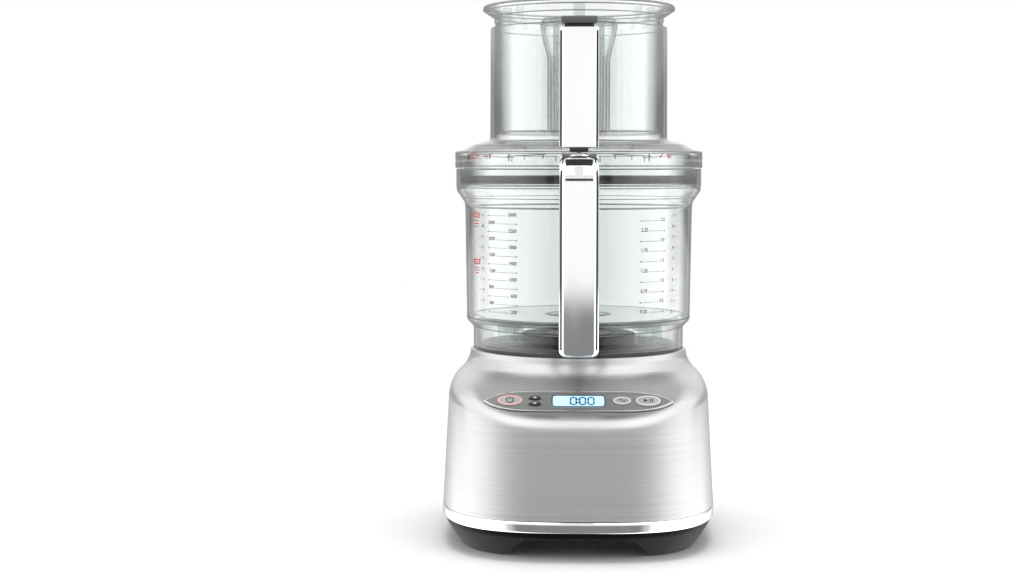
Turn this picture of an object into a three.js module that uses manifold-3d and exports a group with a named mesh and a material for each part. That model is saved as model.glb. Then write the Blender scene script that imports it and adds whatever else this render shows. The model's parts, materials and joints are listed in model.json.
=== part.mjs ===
// A food processor: a motor base with a sloping control shelf, a clear bowl with a handle, a lid with
// a wide hopper and an interlock guide, and two pushers, one inside the other.
// Millimetres, +Z up, the front faces -Y, and the origin is the centre of the base on the table.

import * as THREE from "three";
import { mergeVertices } from "three/addons/utils/BufferGeometryUtils.js";
import Module from "manifold-3d";

const wasm = await Module();
wasm.setup();

// ---------------------------------------------------------------- driving dimensions

const GAP = 0.3; // between pieces that touch
const ROUND_STEPS = 36; // segments round a large turned piece
const SMALL_STEPS = 12; // segments round a small turned piece
const MOTOR_STEPS = 24; // segments round the shaft and what turns or sits on it
const CURVE_STEPS = 5; // segments in each bend of an outline

const BOWL_RADIUS = 100; // outside of the bowl's wall at its floor
const BOWL_DEPTH = 135; // floor to rim
const CLEAR_WALL = 3; // moulded clear plastic
const RIM_FLARE = 9.4; // how far the rim stands out from the wall
const SKIRT_HEIGHT = 23.2; // under the bowl's floor

const BASE_FRONT_REACH = 57; // base outline beyond the bowl's radius, in front
const BASE_SIDE_REACH = 18.7;
const BASE_REAR_REACH = 10.6;
const OUTLINE_POWER = 3; // superellipse exponent of the base's outline
const BASE_HEIGHT = 161.5; // table to the top of the collar
const PAN_HEIGHT = 23.9;
const TRIM_HEIGHT = 9.1;
const STEEL_WALL = 2.4;
const NECK_DROP = 12.5; // collar top to where the collar meets the shoulder
const SHOULDER_DROP = 25; // collar top to the fold at the sides and rear
const FOLD_INSET = 5.7; // fold behind the base's outline at the sides
const FOLD_LEAN = 4.3; // how much further behind in front, where the wall leans back
const FOLD_ROUND = 20; // radius of the fold between wall and shelf
const NECK_ROUND = 40; // radius of the flare from shelf to collar, less where the collar is too short for it
const SHELF_ANGLE = THREE.MathUtils.degToRad(35);
const FOOT_ARCH_HEIGHT = 18;

const PANEL_WIDTH = 157;
const PANEL_HEIGHT = 25;
const PANEL_THICKNESS = 3;
const PANEL_POWER = 6; // how straight the panel's long edges are before its pointed ends
const DISPLAY_WIDTH = 44;
const DISPLAY_HEIGHT = 14;
const BUTTON_TRAVEL = 1;
const LARGE_BUTTON = { width: 21, height: 12 };
const PULSE_BUTTON = { width: 15, height: 9 };
const TIME_BUTTON = { width: 10.5, height: 4.6 };

const LID_SKIRT_HEIGHT = 14.3;
const DOME_RISE = 9;
const HOPPER_RADIUS = 79;
const HOPPER_HEIGHT = 100;
const PUSHER_CLEARANCE = 1.3;
const FLANGE_RADIUS = 85.3;
const FLANGE_THICKNESS = 5;
const FEED_RADIUS = 28; // outside of the small feed tube, in its straight part
const SMALL_PUSHER_CLEARANCE = 3.3;

const GUIDE_SETBACK = 2.5; // interlock guide's front behind the bowl's wall, over the lid's edge
const GUIDE_WIDTH = 30.4; // at its front
const COVER_THICKNESS = 2.2; // of the polished covers
const PLUNGER_TRAVEL = 3;

const HANDLE_WIDTH = 28;
const HANDLE_REACH = 55; // bowl's wall to the front of the handle's cover
const HANDLE_CORNER = 22; // radius of the handle's top front corner
const GRIP_THICKNESS = 9.5;
const SPINE_THICKNESS = 7;

const MOTOR_SIZE = 100;
const STACK_HEIGHT = 44; // laminations
const SHAFT_RADIUS = 5;
const SPINDLE_RADIUS = 8.2;
const SPINDLE_HEIGHT = 43;

// ---------------------------------------------------------------- values that follow from them

const FRONT_REACH = BOWL_RADIUS + BASE_FRONT_REACH;
const REAR_REACH = BOWL_RADIUS + BASE_REAR_REACH;
const HALF_WIDTH = BOWL_RADIUS + BASE_SIDE_REACH;
const HALF_DEPTH = (FRONT_REACH + REAR_REACH) / 2;
const AXIS_Y = (FRONT_REACH - REAR_REACH) / 2; // the bowl's axis stands behind the base's centre

const TRIM_BOTTOM = PAN_HEIGHT + GAP;
const HOUSING_BOTTOM = TRIM_BOTTOM + TRIM_HEIGHT + GAP;
const COLLAR_TOP = BASE_HEIGHT;
const NECK_Z = COLLAR_TOP - NECK_DROP;
const NECK_RADIUS = BOWL_RADIUS - 2;
const COLLAR_RADIUS = BOWL_RADIUS - 3.5;

const BOWL_BOTTOM = COLLAR_TOP + 2.3;
const FLOOR_UNDERSIDE = BOWL_BOTTOM + SKIRT_HEIGHT;
const FLOOR_TOP = FLOOR_UNDERSIDE + CLEAR_WALL + 1;
const RIM_TOP = FLOOR_UNDERSIDE + BOWL_DEPTH;
const RIM_RADIUS = BOWL_RADIUS + RIM_FLARE;
const SKIRT_RADIUS = BOWL_RADIUS - 6;

const LID_BOTTOM = RIM_TOP + 1.2;
const LID_SHOULDER = LID_BOTTOM + LID_SKIRT_HEIGHT;
const LID_RADIUS = RIM_RADIUS + 0.9;
const DOME_TOP = LID_SHOULDER + DOME_RISE;
const HOPPER_TOP = DOME_TOP + HOPPER_HEIGHT;
const FLANGE_BOTTOM = HOPPER_TOP + 14;

const GUIDE_FRONT = BOWL_RADIUS - GUIDE_SETBACK;
const GUIDE_TOP = HOPPER_TOP - 7;
const FOOT_BOTTOM = LID_SHOULDER - 1.9;
const FOOT_HEIGHT = 4;
const SPINE_INNER = RIM_RADIUS + 2.1;
const ROD_Y = SPINE_INNER + SPINE_THICKNESS / 2;
const HANDLE_TOP = LID_SHOULDER - 2.8;
const HANDLE_BOTTOM = BOWL_BOTTOM + 4.2;
const HANDLE_FRONT = BOWL_RADIUS + HANDLE_REACH;
const FRAME_FRONT = HANDLE_FRONT - COVER_THICKNESS - GAP;

const DECK_PLATEAU = COLLAR_TOP + 4.5;
const BOSS_RADIUS = 52;
const BOSS_TOP = COLLAR_TOP + 13.1;
const PIN_REACH = SKIRT_RADIUS - CLEAR_WALL - 3;

// ---------------------------------------------------------------- making and cutting solids

// A closed geometry as a manifold-3d solid with its faces pointing out.
function solid(geometry) {
  const bare = (geometry.index ? geometry.toNonIndexed() : geometry).clone();
  bare.deleteAttribute("normal");
  bare.deleteAttribute("uv");
  const merged = mergeVertices(bare, 1e-3);
  const vertProperties = merged.attributes.position.array;
  const triVerts = new Uint32Array(merged.index.array);
  if (signedVolume(vertProperties, triVerts) < 0) {
    for (let i = 0; i < triVerts.length; i += 3) {
      [triVerts[i + 1], triVerts[i + 2]] = [triVerts[i + 2], triVerts[i + 1]];
    }
  }
  return new wasm.Manifold(new wasm.Mesh({ numProp: 3, vertProperties, triVerts }));
}

function signedVolume(vertices, triangles) {
  const [a, b, c] = [new THREE.Vector3(), new THREE.Vector3(), new THREE.Vector3()];
  let sum = 0;
  for (let i = 0; i < triangles.length; i += 3) {
    a.fromArray(vertices, triangles[i] * 3);
    b.fromArray(vertices, triangles[i + 1] * 3);
    c.fromArray(vertices, triangles[i + 2] * 3);
    sum += a.dot(b.cross(c));
  }
  return sum / 6;
}

const join = (first, ...others) => others.reduce((made, other) => made.add(other), first);
const cut = (first, ...others) => others.reduce((made, other) => made.subtract(other), first);

// A solid as a three.js geometry with flat normals.
function geometryOf(made) {
  const mesh = made.getMesh();
  const position = new Float32Array(mesh.numVert * 3);
  for (let i = 0; i < mesh.numVert; i++) {
    position.set(mesh.vertProperties.subarray(i * mesh.numProp, i * mesh.numProp + 3), i * 3);
  }
  const indexed = new THREE.BufferGeometry()
    .setAttribute("position", new THREE.BufferAttribute(position, 3))
    .setIndex(new THREE.BufferAttribute(new Uint32Array(mesh.triVerts), 1));
  const flat = indexed.toNonIndexed();
  flat.computeVertexNormals();
  return flat;
}

function box(x0, x1, y0, y1, z0, z1) {
  const made = new THREE.BoxGeometry(x1 - x0, y1 - y0, z1 - z0);
  return solid(made.translate((x0 + x1) / 2, (y0 + y1) / 2, (z0 + z1) / 2));
}

// Turned pieces stand about the bowl's axis unless another centre is given.
function turned(profile, { x = 0, y = AXIS_Y, steps = ROUND_STEPS } = {}) {
  const points = [...profile, profile[0]].map(([radius, height]) => new THREE.Vector2(radius, height));
  return solid(new THREE.LatheGeometry(points, steps).rotateX(Math.PI / 2).translate(x, y, 0));
}

const disc = (radius, z0, z1, place) =>
  turned([[0, z0], [radius, z0], [radius, z1], [0, z1]], { steps: SMALL_STEPS, ...place });

const ring = (inner, outer, z0, z1, place) =>
  turned([[inner, z0], [outer, z0], [outer, z1], [inner, z1]], place);

// An outline in X and Y pushed up from z0 to z1.
function pushed(shape, z0, z1) {
  const depth = z1 - z0;
  const settings = { depth, bevelEnabled: false, curveSegments: CURVE_STEPS };
  return solid(new THREE.ExtrudeGeometry(shape, settings).translate(0, 0, z0));
}

function roundedRectangle(width, height, radius, x = 0, y = 0) {
  const [w, h] = [width / 2, height / 2];
  return new THREE.Shape()
    .moveTo(x - w + radius, y - h)
    .lineTo(x + w - radius, y - h)
    .absarc(x + w - radius, y - h + radius, radius, -Math.PI / 2, 0)
    .absarc(x + w - radius, y + h - radius, radius, 0, Math.PI / 2)
    .absarc(x - w + radius, y + h - radius, radius, Math.PI / 2, Math.PI)
    .absarc(x - w + radius, y - h + radius, radius, Math.PI, Math.PI * 1.5);
}

const polygon = (points) => new THREE.Shape(points.map(([x, y]) => new THREE.Vector2(x, y)));

// A ring whose closed profile changes with the azimuth, which is 0 at the front and grows towards +X.
function lofted(profileAt, steps = ROUND_STEPS) {
  const rings = [];
  for (let i = 0; i < steps; i++) {
    const azimuth = (i / steps) * Math.PI * 2;
    const [side, forward] = [Math.sin(azimuth), Math.cos(azimuth)];
    rings.push(profileAt(azimuth).map(([radius, z]) => [radius * side, AXIS_Y - radius * forward, z]));
  }
  const count = rings[0].length;
  const index = [];
  for (let i = 0; i < steps; i++) {
    for (let j = 0; j < count; j++) {
      const [next, above] = [(i + 1) % steps, (j + 1) % count];
      index.push(i * count + j, next * count + j, next * count + above);
      index.push(i * count + j, next * count + above, i * count + above);
    }
  }
  const made = new THREE.BufferGeometry()
    .setAttribute("position", new THREE.Float32BufferAttribute(rings.flat(2), 3))
    .setIndex(index);
  return solid(made);
}

// ---------------------------------------------------------------- the base's outline and profile

// Distance from the bowl's axis to the base's outline, found by halving.
function outlineRadius(azimuth) {
  const [side, forward] = [Math.sin(azimuth), Math.cos(azimuth)];
  let [low, high] = [0, 2 * (HALF_WIDTH + HALF_DEPTH)];
  for (let i = 0; i < 40; i++) {
    const middle = (low + high) / 2;
    const x = Math.abs(middle * side) / HALF_WIDTH;
    const y = Math.abs(AXIS_Y - middle * forward) / HALF_DEPTH;
    if (x ** OUTLINE_POWER + y ** OUTLINE_POWER < 1) low = middle;
    else high = middle;
  }
  return low;
}

// Half the outline's size across, at a distance along its other axis.
function outlineHalf(along, halfAlong, halfAcross) {
  return halfAcross * (1 - (Math.abs(along) / halfAlong) ** OUTLINE_POWER) ** (1 / OUTLINE_POWER);
}

const frontShare = (azimuth) => Math.max(0, Math.cos(azimuth)) ** 2;

// The fold between wall and shoulder lies on the shelf's plane in front and stays level elsewhere.
function foldPoint(azimuth) {
  const radius = outlineRadius(azimuth) - FOLD_INSET - FOLD_LEAN * frontShare(azimuth);
  const plane = NECK_Z - (radius * Math.cos(azimuth) - NECK_RADIUS) * Math.tan(SHELF_ANGLE);
  const level = COLLAR_TOP - SHOULDER_DROP;
  const softness = 4;
  const height = -softness * Math.log(Math.exp(-plane / softness) + Math.exp(-level / softness));
  return [radius, height];
}

// Replaces a profile's corner with an arc of the given radius, which takes at most a share of each side.
function rounded(before, corner, after, radius, steps, share = 0.45) {
  const [p, c, q] = [before, corner, after].map(([x, y]) => new THREE.Vector2(x, y));
  const [toP, toQ] = [p.clone().sub(c), q.clone().sub(c)];
  const half = Math.acos(toP.dot(toQ) / (toP.length() * toQ.length())) / 2;
  const tangent = Math.min(radius / Math.tan(half), share * toP.length(), share * toQ.length());
  const start = c.clone().addScaledVector(toP.normalize(), tangent);
  const end = c.clone().addScaledVector(toQ.normalize(), tangent);
  const curve = new THREE.QuadraticBezierCurve(start, c, end);
  return curve.getPoints(steps).map((point) => [point.x, point.y]);
}

// The profile moved inwards by a wall's thickness, square to each stretch.
function inset(profile, distance) {
  return profile.map((point, i) => {
    const [a, b] = [profile[Math.max(i - 1, 0)], profile[Math.min(i + 1, profile.length - 1)]];
    const along = new THREE.Vector2(b[0] - a[0], b[1] - a[1]).normalize();
    return [point[0] - along.y * distance, point[1] + along.x * distance];
  });
}

function housingProfile(azimuth) {
  const foot = [outlineRadius(azimuth) - GAP, HOUSING_BOTTOM];
  const fold = foldPoint(azimuth);
  const neck = [NECK_RADIUS, NECK_Z];
  const top = [COLLAR_RADIUS, COLLAR_TOP];
  const shoulder = rounded(foot, fold, neck, FOLD_ROUND, 4);
  const throat = rounded(fold, neck, top, NECK_ROUND, 3, 0.85);
  const outside = [foot, ...shoulder, ...throat, top];
  const inside = inset(outside, STEEL_WALL);
  inside[0][1] = HOUSING_BOTTOM;
  inside[inside.length - 1] = [COLLAR_RADIUS - STEEL_WALL, COLLAR_TOP];
  return [...outside, ...inside.reverse()];
}

// ---------------------------------------------------------------- places on the control shelf

const PANEL_CENTRE_REACH = (foldPoint(0)[0] + NECK_RADIUS) / 2 + 4;
const PANEL_CENTRE_Z = NECK_Z - (PANEL_CENTRE_REACH - NECK_RADIUS) * Math.tan(SHELF_ANGLE);
const PLATE_TOP = 0.6; // above the shelf
const PLATE_BOTTOM = PLATE_TOP - PANEL_THICKNESS;
const BOARD_TOP = PLATE_BOTTOM - 6.6;

const SHELF_TO_WORLD = new THREE.Matrix4()
  .makeRotationX(SHELF_ANGLE)
  .setPosition(0, AXIS_Y - PANEL_CENTRE_REACH, PANEL_CENTRE_Z);

// Buttons by name, with their centres along and up the panel as shares of its half sizes.
const BUTTONS = [
  { name: "power_button", ...LARGE_BUTTON, along: -0.725, up: 0 },
  { name: "time_up_button", ...TIME_BUTTON, along: -0.46, up: 0.25 },
  { name: "time_down_button", ...TIME_BUTTON, along: -0.46, up: -0.31 },
  { name: "pulse_button", ...PULSE_BUTTON, along: 0.46, up: 0 },
  { name: "start_button", ...LARGE_BUTTON, along: 0.735, up: 0 },
].map((button) => ({ ...button, x: (button.along * PANEL_WIDTH) / 2, y: (button.up * PANEL_HEIGHT) / 2 }));

function onShelf(shape, low, high) {
  const made = new THREE.ExtrudeGeometry(shape, { depth: high - low, bevelEnabled: false,
    curveSegments: CURVE_STEPS });
  return solid(made.translate(0, 0, low).applyMatrix4(SHELF_TO_WORLD));
}

// The plate is a long shape that comes to a blunt point at each end.
function panelOutline(grow) {
  const [w, h] = [PANEL_WIDTH / 2 + grow, PANEL_HEIGHT / 2 + grow];
  const steps = 16;
  const points = [];
  for (let i = 0; i < 2 * steps; i++) {
    const share = -1 + 2 * ((i % steps) / steps);
    const side = i < steps ? -1 : 1;
    points.push([-side * w * share, side * h * (1 - Math.abs(share) ** PANEL_POWER)]);
  }
  return polygon(points);
}

const ellipse = ({ width, height, x, y }, grow) =>
  new THREE.Shape().absellipse(x, y, width / 2 + grow, height / 2 + grow, 0, Math.PI * 2);

// ---------------------------------------------------------------- finishes and the list of meshes

const FINISHES = {
  brushed_steel: { color: 0xb4b4b6, roughness: 0.38, metalness: 1 },
  chrome: { color: 0xe8e8ea, roughness: 0.08, metalness: 1 },
  dark_plastic: { color: 0x3a3a3b, roughness: 0.5, metalness: 0 },
  black_rubber: { color: 0x18181a, roughness: 0.8, metalness: 0 },
  clear_plastic: { color: 0xdfe9e7, roughness: 0.05, metalness: 0, transparent: true, opacity: 0.3 },
  panel: { color: 0x9a9896, roughness: 0.4, metalness: 0.6 },
  display: { color: 0xaad7f5, roughness: 0.2, metalness: 0 },
  circuit: { color: 0x1f5a3a, roughness: 0.6, metalness: 0 },
  iron: { color: 0x5c5d60, roughness: 0.6, metalness: 0.8 },
  copper: { color: 0xb5683a, roughness: 0.35, metalness: 1 },
  aluminium: { color: 0xa9abae, roughness: 0.45, metalness: 1 },
  steel: { color: 0xc9cacc, roughness: 0.25, metalness: 1 },
};

const part = new THREE.Group();

function addPiece(name, made, finish) {
  const mesh = new THREE.Mesh(geometryOf(made), new THREE.MeshStandardMaterial(FINISHES[finish]));
  mesh.name = name;
  part.add(mesh);
}

// ---------------------------------------------------------------- base: shells and feet

// Screw and foot places, one near each corner, measured from the base's centre.
const corners = (x, y) => [[-x, -y], [x, -y], [-x, y], [x, y]];
const SCREW_PLACES = corners(HALF_WIDTH * 0.6, HALF_DEPTH * 0.62);
const PAD_PLACES = corners(HALF_WIDTH * 0.66, HALF_DEPTH * 0.47);
const PAD_RADIUS = 12;
const PAD_HEIGHT = 4;
const PAN_CLEARANCE = 1; // pan's own feet above the table
const SCREW_RADIUS = 1.75;
const SCREW_HEAD_RADIUS = 4;
const SCREW_SEAT = 13.5;
const SCREW_TOP = HOUSING_BOTTOM + 8;
const VENT_COUNT = 7;
const VENT_PITCH = 9;

// Legs that join the housing's wall to its screw bosses.
function screwBosses() {
  const top = HOUSING_BOTTOM + 14;
  return SCREW_PLACES.map(([x, y]) => {
    const post = disc(5.5, PAN_HEIGHT + GAP, top, { x, y });
    const outwards = Math.sign(x) * (outlineHalf(y, HALF_DEPTH, HALF_WIDTH) - STEEL_WALL);
    const fin = box(Math.min(x, outwards), Math.max(x, outwards), y - 1.5, y + 1.5, HOUSING_BOTTOM, top);
    return cut(join(post, fin), disc(SCREW_RADIUS + GAP, 0, SCREW_TOP + 2, { x, y }));
  });
}

function housing() {
  const shell = lofted(housingProfile);
  const panelOpening = onShelf(panelOutline(GAP), -12, 12);
  const glandHole = disc(GLAND.neck + GAP, -10, 10, { x: 0, y: 0 })
    .rotate([90, 0, 0])
    .translate([GLAND.x, HALF_DEPTH - 4, GLAND.z]);
  const glandSeat = disc(GLAND.flange + GAP, -GAP, 10, { x: 0, y: 0 })
    .rotate([-90, 0, 0])
    .translate([GLAND.x, rearWallAt(GLAND.x), GLAND.z]);
  return cut(join(shell, ...screwBosses()), panelOpening, glandHole, glandSeat);
}

function trimBand() {
  return lofted((azimuth) => {
    const outer = outlineRadius(azimuth);
    const [low, high] = [TRIM_BOTTOM, TRIM_BOTTOM + TRIM_HEIGHT];
    return [[outer - 4, low], [outer - 0.7, low], [outer, low + 0.8], [outer, high], [outer - 4, high]];
  });
}

// The pan tapers to its feet, is hollow above its floor, and is arched between the feet.
function bottomPan() {
  const floor = FOOT_ARCH_HEIGHT + CLEAR_WALL;
  const outside = lofted((azimuth) => {
    const outer = outlineRadius(azimuth) - 2.5;
    const taper = 12.5 + 9 * frontShare(azimuth);
    return [
      [1, PAN_CLEARANCE], [outer - taper, PAN_CLEARANCE], [outer - taper * 0.45, PAN_HEIGHT * 0.4],
      [outer, PAN_HEIGHT - 2], [outer, PAN_HEIGHT], [1, PAN_HEIGHT],
    ];
  });
  const plug = disc(2, PAN_CLEARANCE, PAN_HEIGHT);
  const hollow = lofted((azimuth) => {
    const outer = outlineRadius(azimuth) - 10;
    return [[2.5, floor], [outer, floor], [outer, PAN_HEIGHT + 5], [2.5, PAN_HEIGHT + 5]];
  });
  const [front, side] = [HALF_WIDTH * 0.4, HALF_DEPTH * 0.3];
  const archAlongY = archPrism(front, HALF_DEPTH + 20).rotate([90, 0, 0]);
  const archAlongX = archPrism(side, HALF_WIDTH + 20).rotate([90, 0, 90]);
  const hollowCore = disc(3, floor, PAN_HEIGHT + 5);
  const made = cut(join(outside, plug), hollow, hollowCore, archAlongY, archAlongX);
  const seats = SCREW_PLACES.flatMap(([x, y]) => [
    disc(SCREW_RADIUS + GAP, 0, PAN_HEIGHT + 5, { x, y }),
    disc(SCREW_HEAD_RADIUS + GAP, 0, SCREW_SEAT + GAP, { x, y }),
  ]);
  const pockets = PAD_PLACES.map(([x, y]) => disc(PAD_RADIUS + GAP, 0, PAD_HEIGHT + GAP, { x, y }));
  return cut(made, ...seats, ...pockets, ...ventSlots());
}

// A long prism along Z, centred on the origin, whose section is the gap under the pan.
function archPrism(half, reach) {
  const flare = 14;
  const shape = polygon([
    [-half - flare, -1], [half + flare, -1], [half + 3, FOOT_ARCH_HEIGHT - 6], [half - 4, FOOT_ARCH_HEIGHT],
    [-half + 4, FOOT_ARCH_HEIGHT], [-half - 3, FOOT_ARCH_HEIGHT - 6],
  ]);
  return pushed(shape, -reach, reach);
}

function ventSlots() {
  return Array.from({ length: VENT_COUNT }, (_, i) => {
    const x = (i - (VENT_COUNT - 1) / 2) * VENT_PITCH;
    const y = AXIS_Y - MOTOR_SIZE / 2;
    return box(x - 1.8, x + 1.8, y - 26, y - 8, FOOT_ARCH_HEIGHT - 2, FOOT_ARCH_HEIGHT + 8);
  });
}

function panScrew([x, y]) {
  const head = disc(SCREW_HEAD_RADIUS, SCREW_SEAT - 3, SCREW_SEAT, { x, y });
  const slot = box(x - 3, x + 3, y - 0.6, y + 0.6, SCREW_SEAT - 4, SCREW_SEAT - 1.8);
  return cut(join(head, disc(SCREW_RADIUS, SCREW_SEAT - 1, SCREW_TOP, { x, y })), slot);
}

const footPad = ([x, y]) =>
  turned([[0, 0], [PAD_RADIUS - 1, 0], [PAD_RADIUS, 1], [PAD_RADIUS, PAD_HEIGHT], [0, PAD_HEIGHT]], {
    x, y, steps: SMALL_STEPS,
  });

const GLAND = { x: 24, z: HOUSING_BOTTOM + 14, neck: 6, bore: 3.6, flange: 9, sunk: 1.3, thickness: 1.6 };

// The gland's flange is let into the rear wall, and its neck passes through it.
function cordGland() {
  const rearWall = rearWallAt(GLAND.x);
  const profile = [
    [GLAND.bore, -9], [GLAND.neck, -9], [GLAND.neck, 0], [GLAND.flange, 0],
    [GLAND.flange, GLAND.thickness - 0.5], [GLAND.flange - 1, GLAND.thickness], [GLAND.bore, GLAND.thickness],
  ];
  const made = turned(profile, { x: 0, y: 0, steps: SMALL_STEPS });
  return made.rotate([-90, 0, 0]).translate([GLAND.x, rearWall, GLAND.z]);
}

// The seat of the gland, sunk a little into the outline's rear.
const rearWallAt = (x) => outlineHalf(x, HALF_WIDTH, HALF_DEPTH) - GLAND.sunk;

// ---------------------------------------------------------------- base: control panel

function panelPlate() {
  const holes = BUTTONS.map((button) => onShelf(ellipse(button, GAP), -12, 12));
  const grow = 2 * GAP;
  const window = roundedRectangle(DISPLAY_WIDTH + grow, DISPLAY_HEIGHT + grow, 3 + GAP);
  return cut(onShelf(panelOutline(0), PLATE_BOTTOM, PLATE_TOP), onShelf(window, -12, 12), ...holes);
}

const displayLens = () => onShelf(roundedRectangle(DISPLAY_WIDTH, DISPLAY_HEIGHT, 3), PLATE_BOTTOM,
  PLATE_TOP - 0.1);

const displayModule = () =>
  onShelf(roundedRectangle(DISPLAY_WIDTH + 4, DISPLAY_HEIGHT + 6, 1), BOARD_TOP + GAP, PLATE_BOTTOM - GAP);

const controlBoard = () =>
  onShelf(roundedRectangle(PANEL_WIDTH * 0.82, PANEL_HEIGHT * 0.8, 2), BOARD_TOP - 1.6, BOARD_TOP);

// A cap that fills its hole in the plate and a stem that stops short of the board by its travel.
function pushButton(button) {
  const cap = onShelf(ellipse(button, 0), PLATE_BOTTOM, PLATE_TOP + 0.9);
  const stemSize = { ...button, width: 3.4, height: 3.4 };
  return join(cap, onShelf(ellipse(stemSize, 0), BOARD_TOP + BUTTON_TRAVEL + GAP, PLATE_BOTTOM + 1));
}

// ---------------------------------------------------------------- base: deck and interlock

function bowlDeck() {
  const outer = COLLAR_RADIUS - STEEL_WALL - GAP;
  const edge = outer - 3.5;
  const made = turned([
    [14.3, BOSS_TOP - 11.6], [18, BOSS_TOP - 11.6], [18, BOSS_TOP - 3], [BOSS_RADIUS - 4, BOSS_TOP - 3],
    [BOSS_RADIUS - 3, DECK_PLATEAU - 3], [edge - 3, DECK_PLATEAU - 3.5], [edge - 3, COLLAR_TOP - 5],
    [outer, COLLAR_TOP - 5], [outer, COLLAR_TOP - 0.6], [edge, COLLAR_TOP], [edge - 1, DECK_PLATEAU - 0.5],
    [edge - 2.5, DECK_PLATEAU], [BOSS_RADIUS + 2, DECK_PLATEAU], [BOSS_RADIUS, DECK_PLATEAU + 2],
    [BOSS_RADIUS - 0.6, BOSS_TOP - 1], [BOSS_RADIUS - 1.6, BOSS_TOP], [14.3, BOSS_TOP],
  ]);
  const pinHole = disc(PIN_RADIUS + GAP, COLLAR_TOP - 10, BOSS_TOP + 5, { y: AXIS_Y - PIN_REACH });
  return cut(made, pinHole);
}

const PIN_RADIUS = 2.6;
const PIN_TOP = BOSS_TOP + 0.1;
const SWITCH_TOP = NECK_Z - 22;
const SPRING_WIRE = 0.5;

const shaftSeal = () =>
  turned([
    [SHAFT_RADIUS + GAP, BOSS_TOP - 8], [14, BOSS_TOP - 8], [14, BOSS_TOP - 0.6], [10, BOSS_TOP - 0.6],
    [9, BOSS_TOP - 3], [SHAFT_RADIUS + GAP, BOSS_TOP - 3],
  ], { steps: MOTOR_STEPS });

// The pin has a collar that its spring pushes up from the switch below.
function switchPin() {
  const place = { y: AXIS_Y - PIN_REACH };
  const collarTop = COLLAR_TOP - 6;
  const body = disc(PIN_RADIUS, SWITCH_TOP + PLUNGER_TRAVEL + GAP, PIN_TOP, place);
  return join(body, disc(PIN_RADIUS + 1.8, collarTop - 2, collarTop, place));
}

// A coil of round wire about an upright line.
function coilSpring(radius, z0, z1, turns, { x = 0, y = AXIS_Y } = {}) {
  const steps = turns * 8;
  const points = [];
  for (let i = 0; i <= steps; i++) {
    const angle = (i / 8) * Math.PI * 2;
    const height = z0 + SPRING_WIRE + ((z1 - z0 - 2 * SPRING_WIRE) * i) / steps;
    points.push(new THREE.Vector3(x + radius * Math.cos(angle), y + radius * Math.sin(angle), height));
  }
  const wire = new THREE.Shape().absarc(0, 0, SPRING_WIRE, 0, Math.PI * 2);
  const extrudePath = new THREE.CatmullRomCurve3(points);
  return solid(new THREE.ExtrudeGeometry(wire, { steps, curveSegments: 2, bevelEnabled: false,
    extrudePath }));
}

const pinSpring = () =>
  coilSpring(PIN_RADIUS + 1.1, SWITCH_TOP + GAP, COLLAR_TOP - 8 - GAP, 5, { y: AXIS_Y - PIN_REACH });

function interlockSwitch() {
  const y = AXIS_Y - PIN_REACH;
  return box(-10, 10, y - 5, y + 6, SWITCH_TOP - 16, SWITCH_TOP);
}

function powerBoard() {
  const z = PAN_HEIGHT + 6;
  const y = HALF_DEPTH - 34;
  const board = box(-45, 45, y - 1, y + 1, z, z + 58);
  const parts = [-30, -8, 16].map((x, i) => box(x, x + 14, y - 14 + 3 * i, y - 0.5, z + 12, z + 36 - 5 * i));
  return join(board, ...parts);
}

// ---------------------------------------------------------------- base: motor

const PAN_FLOOR = FOOT_ARCH_HEIGHT + CLEAR_WALL;
const BUSH_HEIGHT = 6;
const BRACKET_BOTTOM = PAN_FLOOR + BUSH_HEIGHT + 2 * GAP;
const BRACKET_THICKNESS = 4;
const STACK_BOTTOM = BRACKET_BOTTOM + 31;
const STACK_TOP = STACK_BOTTOM + STACK_HEIGHT;
const WINDING_HEIGHT = 13;
const UPPER_BRACKET_TOP = STACK_TOP + 22;
const ROTOR_RADIUS = 26;
const BEARING_RADIUS = 13;
const BEARING_HEIGHT = 8;
const MOTOR_CORNERS = corners(MOTOR_SIZE / 2 - 8, MOTOR_SIZE / 2 - 8).map(([x, y]) => [x, y + AXIS_Y]);

function motorStator() {
  const stack = pushed(roundedRectangle(MOTOR_SIZE, MOTOR_SIZE, 12, 0, AXIS_Y), STACK_BOTTOM, STACK_TOP);
  return cut(stack, disc(ROTOR_RADIUS + 0.6, 0, COLLAR_TOP, { steps: MOTOR_STEPS }));
}

const winding = (z0) =>
  turned([
    [ROTOR_RADIUS + 4, z0], [MOTOR_SIZE / 2 - 8, z0], [MOTOR_SIZE / 2 - 6, z0 + WINDING_HEIGHT / 2],
    [MOTOR_SIZE / 2 - 8, z0 + WINDING_HEIGHT], [ROTOR_RADIUS + 4, z0 + WINDING_HEIGHT],
  ], { steps: MOTOR_STEPS });

// A plate with a bearing cup at its middle and a leg at each corner that meets the stack.
function motorBracket(plateLow, plateHigh, legLow, legHigh, cupLow, cupHigh) {
  const plate = pushed(roundedRectangle(MOTOR_SIZE, MOTOR_SIZE, 12, 0, AXIS_Y), plateLow, plateHigh);
  const legs = MOTOR_CORNERS.map(([x, y]) => disc(5, legLow, legHigh, { x, y }));
  const cup = disc(BEARING_RADIUS + 4, cupLow, cupHigh, { steps: MOTOR_STEPS });
  const windows = corners(27, 27).map(([x, y]) => box(x - 11, x + 11, AXIS_Y + y - 11, AXIS_Y + y + 11,
    plateLow - 1, plateHigh + 1));
  return cut(join(plate, ...legs, cup), ...windows);
}

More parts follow.
